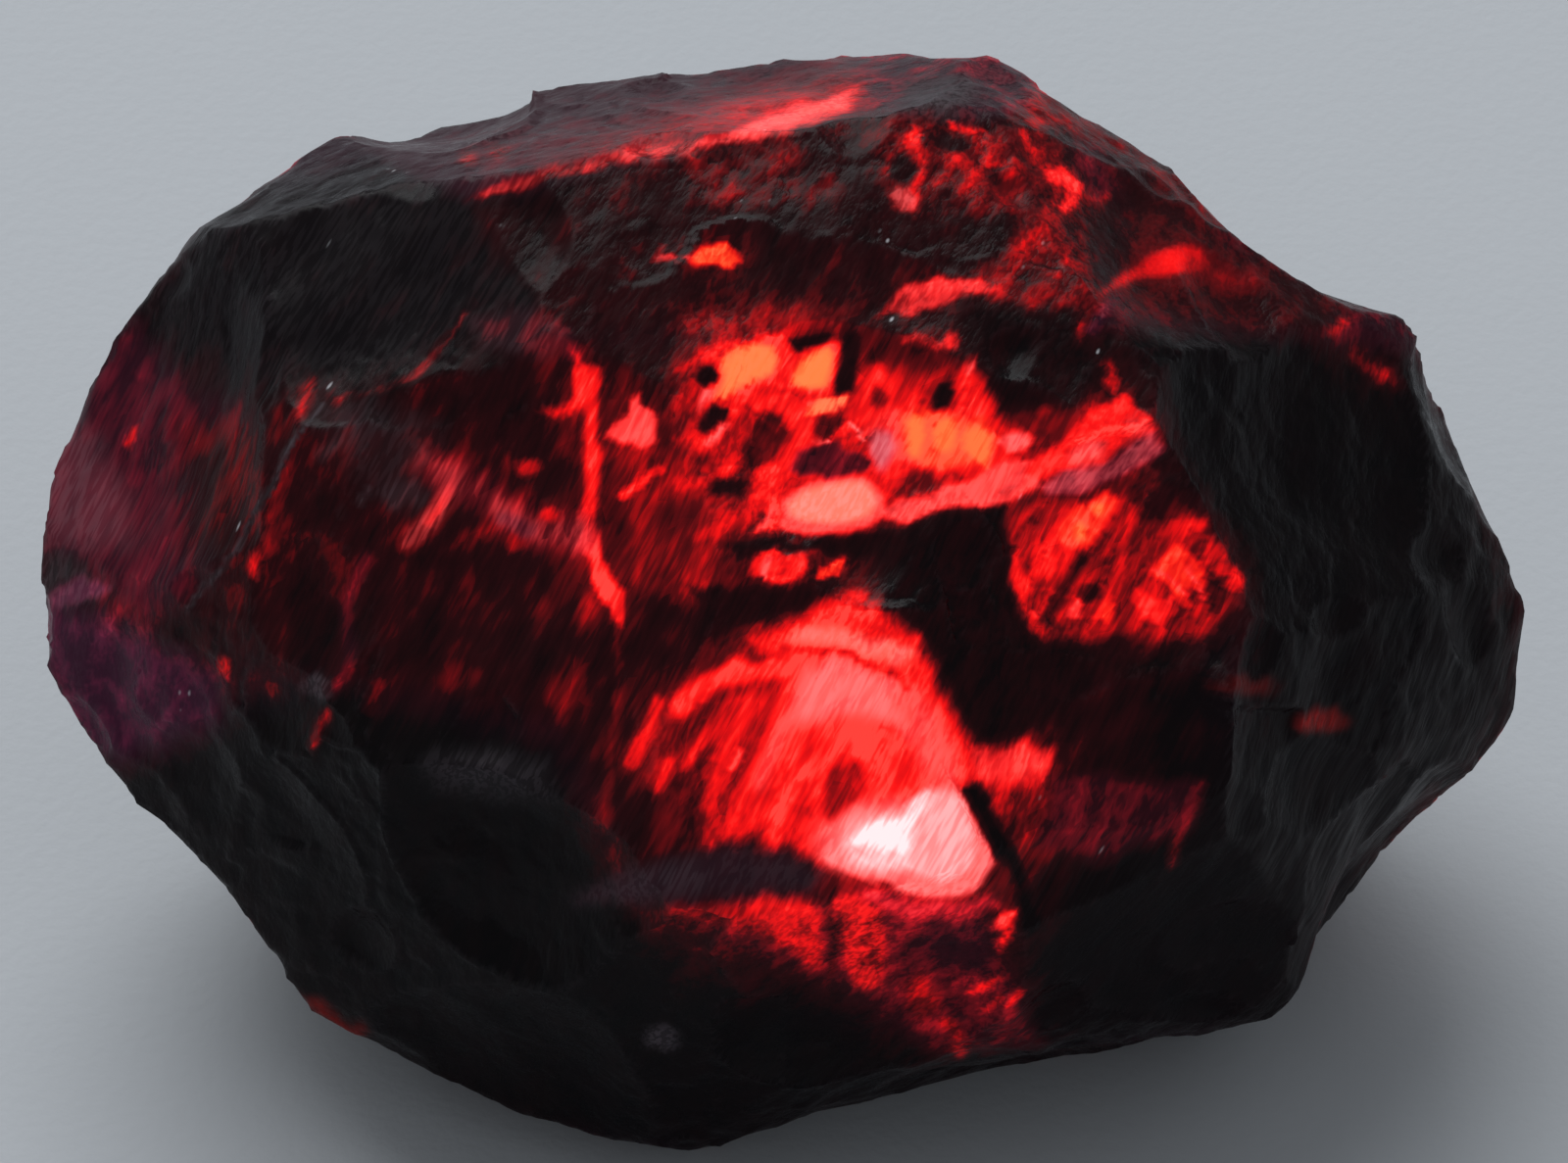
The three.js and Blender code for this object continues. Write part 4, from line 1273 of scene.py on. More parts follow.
# %% The shell scar, in millimetres
LIGHTS |= {
    "red round the fan's left": area([
        (-2.31, -2.55), (-1.73, -1.54), (-0.58, -0.82), (0.29, -0.67), (-0.29, -3.85), (-1.45, -4.14),
        (-2.02, -3.85)
    ], 0.87, heat=0.34, grain=0.6),
    "fan": area([
        (-0.9, -3.82), (-0.87, -3.27), (-0.52, -2.55), (-0.14, -1.94), (0, -1.42), (-0.58, -1.45),
        (-1.07, -1.63), (-1.36, -1.89), (-1.71, -2.06), (-1.56, -1.74), (-1.21, -1.39), (-0.79, -1.16),
        (0, -1.11), (-0.55, -0.9), (-0.36, -0.67), (0, -0.61), (0.43, -0.41), (0.9, -0.18),
        (1.21, -0.18), (1.47, -0.35), (1.76, -0.7), (2.08, -0.85), (2.02, -1.03), (2.28, -1.47),
        (2.53, -2.04), (2.72, -2.55), (2.89, -2.84), (2.67, -3.07), (1.88, -3.27), (1.16, -3.56),
        (0.72, -3.88), (0.52, -4.11), (0.07, -3.88), (-0.14, -3.97), (-0.36, -3.68), (-0.64, -3.82)
    ], 0.29, heat=0.82, grain=0.6),
    "fan's upper light": area([
        (0, -0.89), (0.22, -0.7), (0.58, -0.64), (1.16, -0.79), (1.66, -0.89), (1.99, -1.08),
        (1.73, -1.31), (1.37, -1.11), (0.72, -1.02)
    ], 0.26, heat=0.93, warm=0.1, pale=0.33, grain=0.4),
    "fan's pale arc": area([
        (0.32, -1.25), (0.72, -1.12), (1.16, -1.21), (1.56, -1.42), (1.85, -1.65), (1.97, -2),
        (1.82, -2.26), (1.45, -2.09), (0.87, -2), (0.29, -2.09), (0, -2.09), (0.17, -1.65)
    ], 0.4, heat=0.95, pale=0.37, grain=0.35),
    "fan's right arm": line([
        (1.88, -1.83), (2.17, -2.38), (2.34, -2.84)
    ], 0.55, 0.43, heat=0.9, pale=0.22, grain=0.5),
    "fan's inner band": line([
        (0, -2.15), (-0.2, -2.52), (-0.35, -2.98)
    ], 0.26, 0.29, heat=0.9, pale=0.2, grain=0.5),
    "fan's upper left finger": line([
        (0, -1.25), (-0.72, -1.34), (-1.18, -1.57), (-1.53, -1.91)
    ], 0.29, 0.17, heat=0.86, grain=0.5),
    "fan's third finger": line([(-0.69, -1.77), (-1.01, -2.12), (-1.39, -2.61)], 0.23, 0.2, heat=0.84),
    "fan's first tooth": line([(-2.23, -2.64), (-2.05, -2.23), (-1.85, -1.77)], 0.23, 0.17, heat=0.74),
    "fan's second tooth": line([(-1.85, -3.04), (-1.73, -2.72)], 0.2, 0.17, heat=0.7),
    "bright tick in the gap": line([(-0.79, -2.72), (-0.65, -2.49)], 0.13, 0.07, heat=0.9, pale=0.2),
}
print("brushes of light so far:", len(LIGHTS))

# %% [markdown]
# ### The white facet and its neighbours
#
# One small facet at the fan's foot sends the light straight to the eye and looks white. It needs
# several layers: a pink ground, a soft glow, two paler sides, a red lower edge, and a core whose milk
# goes past one. A red facet and its trail lie across the dark crack from it.

# %% The white facet and its neighbours, in millimetres
LIGHTS |= {
    "white facet": area([
        (0.55, -4.05), (0.9, -3.71), (1.16, -3.53), (1.73, -3.43), (1.85, -3.2), (2.1, -3.04),
        (2.46, -2.98), (2.69, -3.16), (2.9, -3.71), (3.01, -4.14), (2.82, -4.46), (2.34, -4.63),
        (1.73, -4.46), (1.16, -4.37), (0.75, -4.26)
    ], 0.12, heat=0.95, pale=0.35, grain=0.4, still=1),
    "glow round the white core": oval((1.37, -3.79), (0.78, 0.52), 0.64, heat=0.98, pale=0.55, grain=0.2),
    "white facet's right side": area([
        (1.79, -3.56), (1.91, -3.3), (2.17, -3.1), (2.49, -3.1), (2.66, -3.27), (2.83, -3.74),
        (2.8, -4.2), (2.37, -4.46), (1.95, -4.31), (1.76, -3.97)
    ], 0.17, heat=1, pale=0.66, grain=0.45, still=1),
    "white facet's left side": area([
        (0.9, -4.02), (1.16, -4.02), (1.81, -4.02), (1.91, -4.23), (1.45, -4.26), (1.04, -4.2)
    ], 0.14, heat=1, pale=0.8, grain=0.3, still=1),
    "white facet's red edge": line([
        (1.71, -4.5), (2.34, -4.63), (2.8, -4.49), (3.02, -4.14), (2.93, -3.71)
    ], 0.19, 0.2, heat=0.93, pale=0.42, grain=0.5, still=1),
    "white facet's core": area([
        (0.95, -3.82), (1.18, -3.62), (1.76, -3.48), (1.94, -3.24), (2.11, -3.16), (2.02, -3.36),
        (1.82, -3.65), (1.82, -3.94), (1.52, -3.94), (1.16, -3.91)
    ], 0.26, heat=1.15, pale=1.3, grain=0.1),
    "red facet": area([
        (2.75, -2.46), (3.53, -2.36), (3.96, -2.51), (3.93, -2.93), (3.64, -3.19), (3.27, -3.27),
        (3.01, -3.1), (2.8, -2.84)
    ], 0.26, heat=0.84, pale=0.14, grain=0.6),
    "red facet's trail": area([
        (2.92, -3.07), (3.79, -2.93), (4.45, -3.45), (4.22, -3.97), (3.47, -3.94), (3.09, -3.53)
    ], 0.49, heat=0.47),
    "above the red facet": area([
        (2.86, -1.54), (3.18, -1.61), (3.32, -2.26), (3.03, -2.48), (2.82, -2.12)
    ], 0.43, heat=0.44),
    "thread by the strip": line([(5.71, -4.14), (5.85, -3.71), (6.18, -2.98)], 0.17, 0.14, heat=0.4),
    "glint at the toe": area([
        (2.89, -5.27), (3.06, -5.01), (3.44, -4.8), (3.5, -4.89), (3.21, -5.15)
    ], 0.07, heat=0.86, pale=0.12),
    "second toe glint": line([(3.15, -5.38), (3.35, -5.15)], 0.14, 0.12, heat=0.66),
}
print("brushes of light so far:", len(LIGHTS))

# %% [markdown]
# ### Under the ridge bar
#
# Below the dark bar the toe of the stone glows faintly: two lobes with a vein between them, and a few
# embers and strokes down to the edge.

# %% Under the ridge bar, in millimetres
LIGHTS |= {
    "dim toe": area([
        (-2.02, -4.65), (0.72, -4.65), (2.89, -4.86), (3.76, -6.74), (2.31, -6.89), (0.72, -5.87),
        (-0.87, -5.3)
    ], 0.49, heat=0.37, violet=0.12, grain=0.6),
    "toe's dark hollow": area([
        (2.08, -5.07), (2.75, -4.98), (3.06, -5.3), (2.95, -5.73), (2.37, -5.7), (2.02, -5.41)
    ], 0.35, heat=0.26, violet=0.2),
    "under the white facet": area([
        (1.13, -4.52), (1.73, -4.63), (2.37, -4.78), (2.98, -4.63), (3.21, -4.8), (2.75, -5.01),
        (1.88, -4.95), (1.27, -4.8)
    ], 0.26, heat=0.64, violet=0.15),
    "red under the bar": area([
        (-2.31, -4.75), (-0.87, -4.72), (0, -4.75), (0.29, -5.27), (0, -5.41), (-0.87, -5.12),
        (-2.02, -5.01)
    ], 0.35, heat=0.45),
    "toe's right lobe": area([
        (0.69, -4.69), (1.04, -4.63), (1.37, -4.86), (1.53, -5.21), (1.5, -5.66), (1.42, -5.99),
        (1.16, -6.05), (0.95, -5.76), (0.81, -5.37), (0.72, -5.01)
    ], 0.2, heat=0.62, pale=0.07, grain=0.9),
    "toe's left lobe": area([
        (-0.49, -4.69), (0, -4.63), (0.43, -4.66), (0.55, -4.89), (0.58, -5.3), (0.61, -5.64),
        (0.38, -5.67), (0.09, -5.41), (-0.26, -5.15), (-0.55, -4.95)
    ], 0.2, heat=0.66, pale=0.05),
    "vein between the lobes": line([
        (0.61, -4.54), (0.66, -5.01), (0.75, -5.41), (0.72, -5.76)
    ], 0.09, 0.09, heat=0.2),
    "toe's ember": area([
        (1.73, -5.87), (2.02, -5.79), (2.28, -5.96), (2.34, -6.31), (2.08, -6.42), (1.82, -6.22)
    ], 0.26, heat=0.45),
    "toe's upper stroke": line([(2.77, -6.11), (3.01, -5.96), (3.18, -5.82)], 0.09, 0.07, heat=0.62),
    "toe's middle stroke": line([(2.95, -6.28), (3.15, -6.16)], 0.09, 0.07, heat=0.58),
    "toe's right stroke": line([(3.27, -6.28), (3.47, -6.13)], 0.09, 0.07, heat=0.56),
    "toe's tip": line([(2.4, -6.51), (2.56, -6.71), (2.6, -6.94)], 0.2, 0.14, heat=0.45),
}
print("brushes of light:", len(LIGHTS))

# %% [markdown]
# ### Holes between the panes
#
# What is dark lies on top of what shines, and must stay dark when the light is spread a little, so
# it has a list of its own, laid on last. The holes between the panes come first, and a few small
# lights that sit at a hole's rim come right after it.

# %% Holes between the panes, in millimetres
DARKS = {
    "dark by the strokes": area([
        (2.67, 4.1), (4.19, 4.02), (4.77, 3.09), (4.34, 2.62), (3.18, 2.51), (3.03, 2.8), (2.67, 3.52)
    ], 0.36, heat=0.18),
    "dark under the crown": area([
        (1.52, 5.31), (2.31, 5.46), (3.41, 5.37), (3.27, 4.85), (2.6, 4.65), (1.59, 4.7)
    ], 0.35, heat=0.24),
    "dark in the squiggle": oval((1.76, 6.11), (0.17, 0.19), 0.12, heat=0.22),
    "dark over the short squiggle": oval((2.51, 6.48), (0.26, 0.14), 0.17, heat=0.22),
    "bar between the windows": area([
        (0.9, 3.66), (1.13, 3.69), (1.1, 3.23), (1.01, 2.83), (0.78, 2.75), (0.75, 2.97), (0.84, 3.35)
    ], 0.12, heat=0.18, still=1),
    "notch above the windows": area([
        (0.09, 3.58), (0.72, 3.69), (0.65, 3.52), (0.17, 3.37)
    ], 0.12, heat=0.2),
    "basin's first hole": area([
        (-1.27, 3), (-1.21, 3.14), (-1.1, 3.22), (-0.97, 3.11), (-0.98, 2.97), (-1.1, 2.93),
        (-1.21, 2.91)
    ], 0.09, heat=0.18),
    "basin's second hole": area([
        (-1.29, 2.25), (-1.21, 2.48), (-1.04, 2.62), (-0.85, 2.52), (-0.9, 2.36), (-1.01, 2.26),
        (-1.18, 2.19)
    ], 0.1, heat=0.24),
    "basin's third hole": area([
        (-0.62, 1.9), (-0.52, 2.16), (-0.4, 2.41), (-0.23, 2.51), (0, 2.39), (0.14, 2.25),
        (0.09, 2.07), (-0.04, 1.93), (-0.2, 1.74), (-0.52, 1.67)
    ], 0.13, heat=0.38),
    "basin's right hole": area([
        (0.4, 2.25), (0.52, 2.45), (0.84, 2.45), (0.98, 2.22), (0.75, 2.13), (0.55, 2.09)
    ], 0.12, heat=0.42),
    "lower right hole": area([
        (0.23, 1.9), (0.46, 2.02), (0.84, 2.03), (1.07, 1.87), (1.24, 1.7), (1.16, 1.58), (0.58, 1.55),
        (0.09, 1.64)
    ], 0.13, heat=0.4, violet=0.2),
    "bit between the holes": area([
        (0.72, 2.09), (0.75, 2.22), (0.92, 2.36), (1.03, 2.33), (0.95, 2.19)
    ], 0.06, heat=0.88, still=1),
    "pale rim of the hole": line([(0.46, 2.06), (0.65, 2.09)], 0.06, 0.04, heat=0.95, pale=0.4, still=1),
    "second pale rim": line([
        (0.98, 2.33), (1.1, 2.22), (1.16, 2.1)
    ], 0.06, 0.04, heat=0.92, pale=0.35, still=1),
    "spot by the wedge": oval((1.39, 2.74), (0.12, 0.16), 0.12, heat=0.42),
    "basin's notch": area([
        (2.14, 2.51), (2.2, 2.74), (2.31, 2.91), (2.46, 2.94), (2.51, 2.77), (2.43, 2.59), (2.25, 2.51)
    ], 0.1, heat=0.15),
    "dark by the ledge": area([
        (1.66, 1.28), (1.73, 1.58), (2.1, 1.67), (2.28, 1.5), (2.17, 1.35)
    ], 0.2, heat=0.5),
    "dark on the mottled slope": oval((-0.84, 1.41), (0.26, 0.14), 0.2, heat=0.24),
    "second dark on the slope": oval((-1.59, 0.99), (0.38, 0.29), 0.49, heat=0.34),
    "dark under the oval": area([
        (-0.79, 0.57), (0.72, 0.66), (1.52, 0.74), (1.45, 0.4), (0.72, 0.4), (0, 0.57), (-0.69, 0.31)
    ], 0.12, heat=0.2),
    "dark over the fan": area([
        (-1.45, -0.12), (-0.58, -0.09), (0.87, -0.05), (0.58, -0.27), (-0.14, -0.5), (-0.87, -0.67)
    ], 0.2, heat=0.22),
}
print("brushes of dark so far:", len(DARKS))

# %% [markdown]
# ### The wedge, the cracks and the gaps
#
# A black wedge lies between the basin and the shell scar, and a dark crack cuts the white facet off on
# its right. Neither is a hole in the stone, only a break that turns its light away, so it is painted
# and not cut. A hair-fine crack runs up the left, and small gaps part the cells and the rings.

# %% The wedge, the cracks and the gaps, in millimetres
DARKS |= {
    "crack": line([
        (-8.82, -0.41), (-8.6, -0.12), (-8.09, 0.48), (-7.77, 1.06), (-7.44, 1.67), (-7.23, 2.13),
        (-6.79, 2.65)
    ], 0.06, 0.06, heat=0.15, haze=0.6),
    "dark wedge": area([
        (1.37, 0.7), (2.31, 1), (3.25, 1.11), (3.27, 0.48), (3.41, -0.38), (3.76, -0.85),
        (4.77, -0.96), (4.48, -1.54), (3.76, -2.12), (3.03, -2.41), (2.67, -2.12), (2.17, -0.89),
        (1.52, -0.24)
    ], 0.2, heat=0.17),
    "pocket's hole": line([
        (4.38, 0.37), (4.22, 0.08), (4.02, -0.27), (3.84, -0.61)
    ], 0.16, 0.13, heat=0.32),
    "pocket's small hole": oval((4.52, -0.15), (0.19, 0.13), 0.1, heat=0.28),
    "pocket's right hole": area([
        (6.3, 0.17), (6.5, 0.08), (6.47, -0.27), (6.33, -0.5), (6.24, -0.27)
    ], 0.13, heat=0.3),
    "fan's dark arc": line([
        (0, -0.99), (0.55, -1.06), (1.08, -1.11), (1.45, -1.28), (1.79, -1.54)
    ], 0.09, 0.09, heat=0.78),
    "fan's shadow at the left": area([
        (-1.13, -1.77), (-0.58, -1.6), (-0.09, -1.63), (-0.2, -1.97), (-0.64, -2.35), (-0.84, -2.84),
        (-0.92, -3.71), (-1.1, -3.85), (-1.21, -2.98), (-0.92, -2.26)
    ], 0.43, heat=0.76),
    "fan's second gap": line([(-1.59, -2.35), (-1.27, -2), (-0.87, -1.65)], 0.13, 0.17, heat=0.5),
    "eye of the shell": area([
        (0.61, -3.1), (0.72, -2.78), (1.01, -2.67), (1.21, -2.84), (1.1, -3.13), (0.75, -3.49),
        (0.58, -3.42)
    ], 0.2, heat=0.56),
    "dark crack": area([
        (2.63, -3.07), (2.86, -2.96), (3.15, -3.53), (3.5, -4.21), (3.82, -5.15), (3.61, -5.27),
        (3.41, -4.5), (3.06, -3.88)
    ], 0.13, heat=0.12),
    "grey end of the facet": area([
        (4.05, -2.84), (5.78, -2.98), (6.21, -2.98), (5.92, -3.71), (4.62, -4.14), (3.76, -3.85)
    ], 0.35, heat=0.37, violet=0.15),
}
print("brushes of dark so far:", len(DARKS))

# %% [markdown]
# ### The ridge bar and the grey sheen
#
# A dark bar marks the ridge at the shell scar's foot, with a painted grey sheen on it, partly dust.
# Painted grey sheen, partly dust, lies on a few ledges too; it sets no heat, so what is under it keeps
# its light. Three faint orange smudges of painted light finish the edges.

# %% The ridge bar and the grey sheen, in millimetres
DARKS |= {
    "ridge bar": area([
        (-3.11, -4.69), (-2.17, -4.21), (-1.16, -3.97), (0, -4.02), (0.58, -4.26), (0.43, -4.5),
        (-0.58, -4.57), (-2.02, -4.72)
    ], 0.38, heat=0.2, haze=0.16, violet=0.3, grain=0.5),
    "grey end of the bar": area([
        (-2.89, -4.65), (-2.17, -4.26), (-1.23, -4.08), (-1.16, -4.43), (-2.02, -4.65)
    ], 0.43, haze=0.35, grain=0.4),
    "right smudge": oval((7.95, -2.04), (0.4, 0.2), 0.2, heat=0.36, warm=0.4),
    "fainter right smudge": oval((6.79, -1.54), (0.43, 0.13), 0.2, heat=0.24, warm=0.3),
    "grey on the bowl's rim": area([
        (-5.32, -2.7), (-4.77, -2.49), (-3.58, -2.7), (-3.47, -3.16), (-4.34, -3.07), (-5.06, -2.98)
    ], 0.58, haze=0.4, grain=0.3),
    "grey on the front": oval((-1.79, -6.74), (0.22, 0.2), 0.2, haze=0.6),
    "grey left of the bowl": oval((-6.91, -1.57), (0.2, 0.17), 0.17, haze=0.55),
    "grey by the salmon stroke": oval((-5.66, 1.32), (0.26, 0.17), 0.23, haze=0.5),
    "grey tick": line([(-6.27, 1.18), (-6.13, 1.35)], 0.12, 0.12, haze=0.5),
    "grey above it": line([(-6.82, 1.9), (-6.33, 2.25)], 0.17, 0.2, haze=0.35),
    "grey by the dull band": oval((-5.43, 1.87), (0.14, 0.17), 0.2, haze=0.35),
    "red rim below": line([
        (-7.23, -6.16), (-6.79, -6.37), (-6.29, -6.63)
    ], 0.17, 0.23, heat=0.2, warm=0.6),
}
print("brushes of dark:", len(DARKS))

# %% [markdown]
# ### Glints
#
# Small fresh chips catch the light as short white dashes that lie along the grain; here they are
# painted highlights, white put into the base colour. Each one says where it is, half how long it is,
# and how bright.

# %% Glints, in millimetres
GLINTS = [
    (-6.79, 5.18, 0.14, 0.6), (-6.75, 4.96, 0.09, 0.5), (-5.75, 5.98, 0.1, 0.5), (-4.8, 5.53, 0.07, 0.7),
    (-4.41, 5.21, 0.1, 0.6), (-3.9, 5.08, 0.09, 0.4), (-0.19, 6.58, 0.09, 0.9), (-0.72, 5.54, 0.1, 0.5),
    (-0.14, 5.57, 0.09, 0.4), (1.66, 3.84, 0.1, 0.8), (1.5, 5.04, 0.09, 0.6), (4.74, 3.49, 0.17, 0.9),
    (3.67, 1.35, 0.12, 1.2), (3.64, 4.85, 0.14, 0.5), (-8.01, 0.7, 0.06, 0.8), (-6.71, 2.8, 0.12, 0.6),
    (-9.39, -0.67, 0.09, 0.5), (-8.87, -1.71, 0.1, 0.5), (3.83, -3.33, 0.07, 0.8), (4.77, -3.94, 0.09, 0.6),
    (6.45, 1.32, 0.12, 0.4),
]


def glint(centre, reach, bright):
    """A short dash along the grain, where the shader may paint a white highlight."""
    return line([centre - reach * GRAIN, centre + reach * GRAIN], 0.24, 0.12, glint=bright)


SPARKS = {(u, v): glint(np.array([u, v]), reach, bright) for u, v, reach, bright in GLINTS}

# %% [markdown]
# ## The sides, the back and the underside
#
# The same light leaves the rest of the stone, only less of it: in thin sheets where an old crack
# has healed, and in a few windows. Noise in three dimensions places them, so they run on round the
# corners. In the scar at the back it runs in arcs, as the scar's own ripples do.

# %% Tones away from the broad face
TONES = ("heat", "warm", "pale", "violet", "green", "haze", "grain", "glint")
SHEET_WAVE = (4.2, 4.2, 3.0)
SHEET_THICKNESS = 0.035
WINDOW_WAVE = 3.1
PATCH_WAVE = 5.0
VIOLET_WAVE = 6.0
ARC_WAVE = 1.1
DIMMEST = 0.1
SHEET_HEAT = 0.38
WINDOW_HEAT = 0.45


def rest_tones():
    """What the skin shows away from the broad face."""
    sheet = np.exp(-(swells(stone / SHEET_WAVE, 40) / SHEET_THICKNESS)**2)
    window = step_between(0.16, 0.34, swells(stone / WINDOW_WAVE, 41))
    patchy = step_between(-0.1, 0.25, swells(stone / PATCH_WAVE, 42))
    from_scar = np.linalg.norm(stone - BACK_CHIPS["back hollow"]["at"], axis=1)
    arcs = 0.5 + 0.5 * np.cos(2 * np.pi * from_scar / ARC_WAVE)
    raised = step_between(0.5, 4.0, stone[:, 2])
    tones = {tone: np.zeros(len(stone)) for tone in TONES}
    from_within = SHEET_HEAT * sheet * patchy + WINDOW_HEAT * window * (0.7 + 0.3 * arcs)
    # the painted light fades out from 4 mm down to half a millimetre above the paper
    tones["heat"] = DIMMEST + raised * from_within
    tones["violet"] = 0.5 * step_between(-0.1, 0.3, swells(stone / VIOLET_WAVE, 43))
    tones["grain"] = np.full(len(stone), 0.8)
    return tones


tones = rest_tones()
print("strongest light away from the broad face:", tones["heat"].max().round(2))

# %% [markdown]
# ## Laying a brush on
#
# A brush covers its own place and fades over its soft edge. One that sets the heat sets every other
# tone as well, to its default if need be; the rest touch only what they name. To spread light we
# share each point's value with its neighbours, over and over: a blur that keeps to the skin.

# %% Laying a brush on, and sharing with the neighbours
DEFAULTS = {"heat": 0, "warm": 0, "pale": 0, "violet": 0, "green": 0, "haze": 0, "grain": 0.7, "glint": 0}


def brush_on(tones, brushes):
    """Each brush in turn, over what the brushes before it left."""
    seen = np.flatnonzero(front > 0)
    for depth, soft, wanted in brushes.values():
        spots = still_sight if wanted.get("still") else sight
        cover = step_between(-soft / 2, soft / 2, depth(spots[seen])) * front[seen]
        near = seen[cover > 0]
        cover = cover[cover > 0]
        for tone in TONES:
            aim = wanted.get(tone, DEFAULTS[tone] if "heat" in wanted else None)
            if aim is not None:
                tones[tone][near] += cover * (aim - tones[tone][near])


def spread(values, rounds):
    """Each point's value shared with its neighbours, some times over."""
    first, last = edges.T
    count = np.bincount(edges.ravel(), minlength=len(values))
    for _ in range(rounds):
        total = np.bincount(first, values[last], len(values)) + np.bincount(last, values[first], len(values))
        values = 0.5 * values + 0.5 * total / count
    return values


print("neighbours of a point:", round(2 * len(edges) / len(stone), 2))

# %% [markdown]
# ## Light, halo, dark and glints
#
# Lights go on first. Then the light is mottled, ringed in the shell scar, and shared with its
# neighbours, because some of it wanders on inside the crystal and makes a soft halo. Darks and glints
# go on last, and stay crisp.

# %% Lights, halo, darks and glints
MOTTLE = 1.5
RING = 0.42  # millimetres from one ring of the shell scar to the next
RING_BREAKS = 1.6
RING_HEAT = 0.3
SHELL_EYE = np.array([0.9, -3.3])  # the middle of the shell scar's rings
BLEED = 0.3  # how much of the light wanders on through the crystal
BLEED_ROUNDS = 100
CONTRAST = 2.5  # the amount of light is this power of the heat


def mottled(heat):
    """The light in coarse and fine blots, stronger where it is dim and the grain shows."""
    blots = grain_spots(sight, 0.8, 0.45, 0.8)
    mottle = swells(blots, 60) + 0.6 * swells(2.3 * blots, 61)
    return heat * (1 + MOTTLE * mottle * tones["grain"] * np.clip(1 - heat, 0, 1))


def shell_rings():
    """Broken rings round the shell scar's eye, as an amount to add to the light."""
    from_eye = sight - SHELL_EYE
    turns = RING_BREAKS * np.arctan2(*from_eye.T)
    rings = np.column_stack([np.hypot(*from_eye.T) / RING, turns, np.zeros(len(stone))])
    fan_depth = LIGHTS["fan"][0]
    shell = step_between(0, 0.6, fan_depth(sight)) * front
    return RING_HEAT * shell * swells(rings, 50)


brush_on(tones, LIGHTS)
tones["heat"] = mottled(tones["heat"]) + shell_rings()
amount = tones["heat"]**CONTRAST
tones["heat"] = (amount + BLEED * spread(amount, BLEED_ROUNDS))**(1 / CONTRAST)
brush_on(tones, DARKS)
brush_on(tones, SPARKS)
print("skin points brighter than half:", (tones["heat"] > 0.5).sum())

# %% [markdown]
# ## What the shape adds
#
# Light leaves a facet more easily when it faces one way than another, so the painted light is made
# stronger there; painted shade keeps the hollows dark; and crests are worn pale. All three come from
# comparing the skin with its own surroundings. The tones are then stored on the mesh's points, where
# the shader can read them.

# %% Leaning facets, hollows and crests
LEAN = np.array([0.45, -0.75, 0.45])  # the way a facet faces when it lets the most light out
LEAN_ROUNDS = 12
LEAN_HEAT = 0.8
CREST_ROUNDS = 3
CREST_HEIGHTS = (0.002, 0.02)
HOLLOW_SHADE = 0.3
lean = skin @ FACE_AXES @ (LEAN / np.linalg.norm(LEAN))
lean = lean - spread(lean, LEAN_ROUNDS)
height = np.linalg.norm(stone - MIDDLE, axis=1)
raised = height - spread(height, CREST_ROUNDS)
hollow = step_between(*CREST_HEIGHTS, -raised)
tones["heat"] *= 1 + tones["grain"] * (np.clip(LEAN_HEAT * lean, -0.45, 0.4) - HOLLOW_SHADE * hollow)
tones["crest"] = step_between(*CREST_HEIGHTS, raised)
print("tones:", {tone: (round(v.min(), 2), round(v.max(), 2)) for tone, v in tones.items()})

for tone, values in tones.items():
    layer = stone_piece.data.attributes.new("tone " + tone, "FLOAT", "POINT")
    layer.data.foreach_set("value", values.astype(np.float32))

# %% [markdown]
# ## Shader sums in plain Python
#
# A finish is a graph of nodes, and a graph is hard to read as text. This class wraps one output of
# a node, so that adding, subtracting or multiplying it adds the Math node for us. Every other kind of
# node comes from one method: its settings are set first, and then its inputs.

# %% A wire between shader nodes
class Wire:
    """One output of a shader node, which can take part in sums."""

    def __init__(self, socket):
        self.socket = socket

    def node(self, kind, settings, inputs, output=0):
        """Adds a node beside this one, gives it settings, values and links, and wraps its output."""
        tree = self.socket.id_data
        made = tree.nodes.new("ShaderNode" + kind)
        for name, value in settings.items():
            if name == "stops":
                set_stops(made.color_ramp, value)
            else:
                setattr(made, name, value)
        for place, value in inputs.items():
            if isinstance(value, Wire):
                tree.links.new(value.socket, made.inputs[place])
            else:
                made.inputs[place].default_value = value
        return Wire(made.outputs[output])

    def math(self, operation, *values):
        return self.node("Math", {"operation": operation}, dict(enumerate(values)))

    def __add__(self, other):
        return self.math("ADD", self, other)

    def __sub__(self, other):
        return self.math("SUBTRACT", self, other)

    def __rsub__(self, other):
        return self.math("SUBTRACT", other, self)

    def __mul__(self, other):
        return self.math("MULTIPLY", self, other)

    __radd__ = __add__
    __rmul__ = __mul__

    def clamped(self, low=0.0, high=1.0):
        return self.node("Clamp", {}, {0: self, 1: low, 2: high})

    def ranged(self, low, high, to_low=0.0, to_high=1.0):
        """A smooth step from one range of numbers to another."""
        settings = {"interpolation_type": "SMOOTHSTEP"}
        return self.node("MapRange", settings, {0: self, 1: low, 2: high, 3: to_low, 4: to_high})

    def colour(self, stops):
        return self.node("ValToRGB", {"stops": stops}, {0: self})

    def between(self, first, second):
        """Mixes two colours, with this wire as the share of the second."""
        return self.node("Mix", {"data_type": "RGBA"}, {0: self, 6: first, 7: second}, output=2)


def set_stops(ramp, stops):
    while len(ramp.elements) < len(stops):
        ramp.elements.new(1.0)
    for element, (place, colour) in zip(ramp.elements, stops):
        element.position = place
        element.color = (*colour, 1.0)


def rgb(red, green, blue):
    """A colour given on a screen, as the amounts of light that it stands for: the sRGB curve."""
    return tuple(((c / 255 + 0.055) / 1.055)**2.4 if c > 10 else c / 255 / 12.92 for c in (red, green, blue))


def paint(*screen_colour):
    return (*rgb(*screen_colour), 1.0)


print("a screen's middle grey as light:", round(rgb(128, 128, 128)[0], 3))

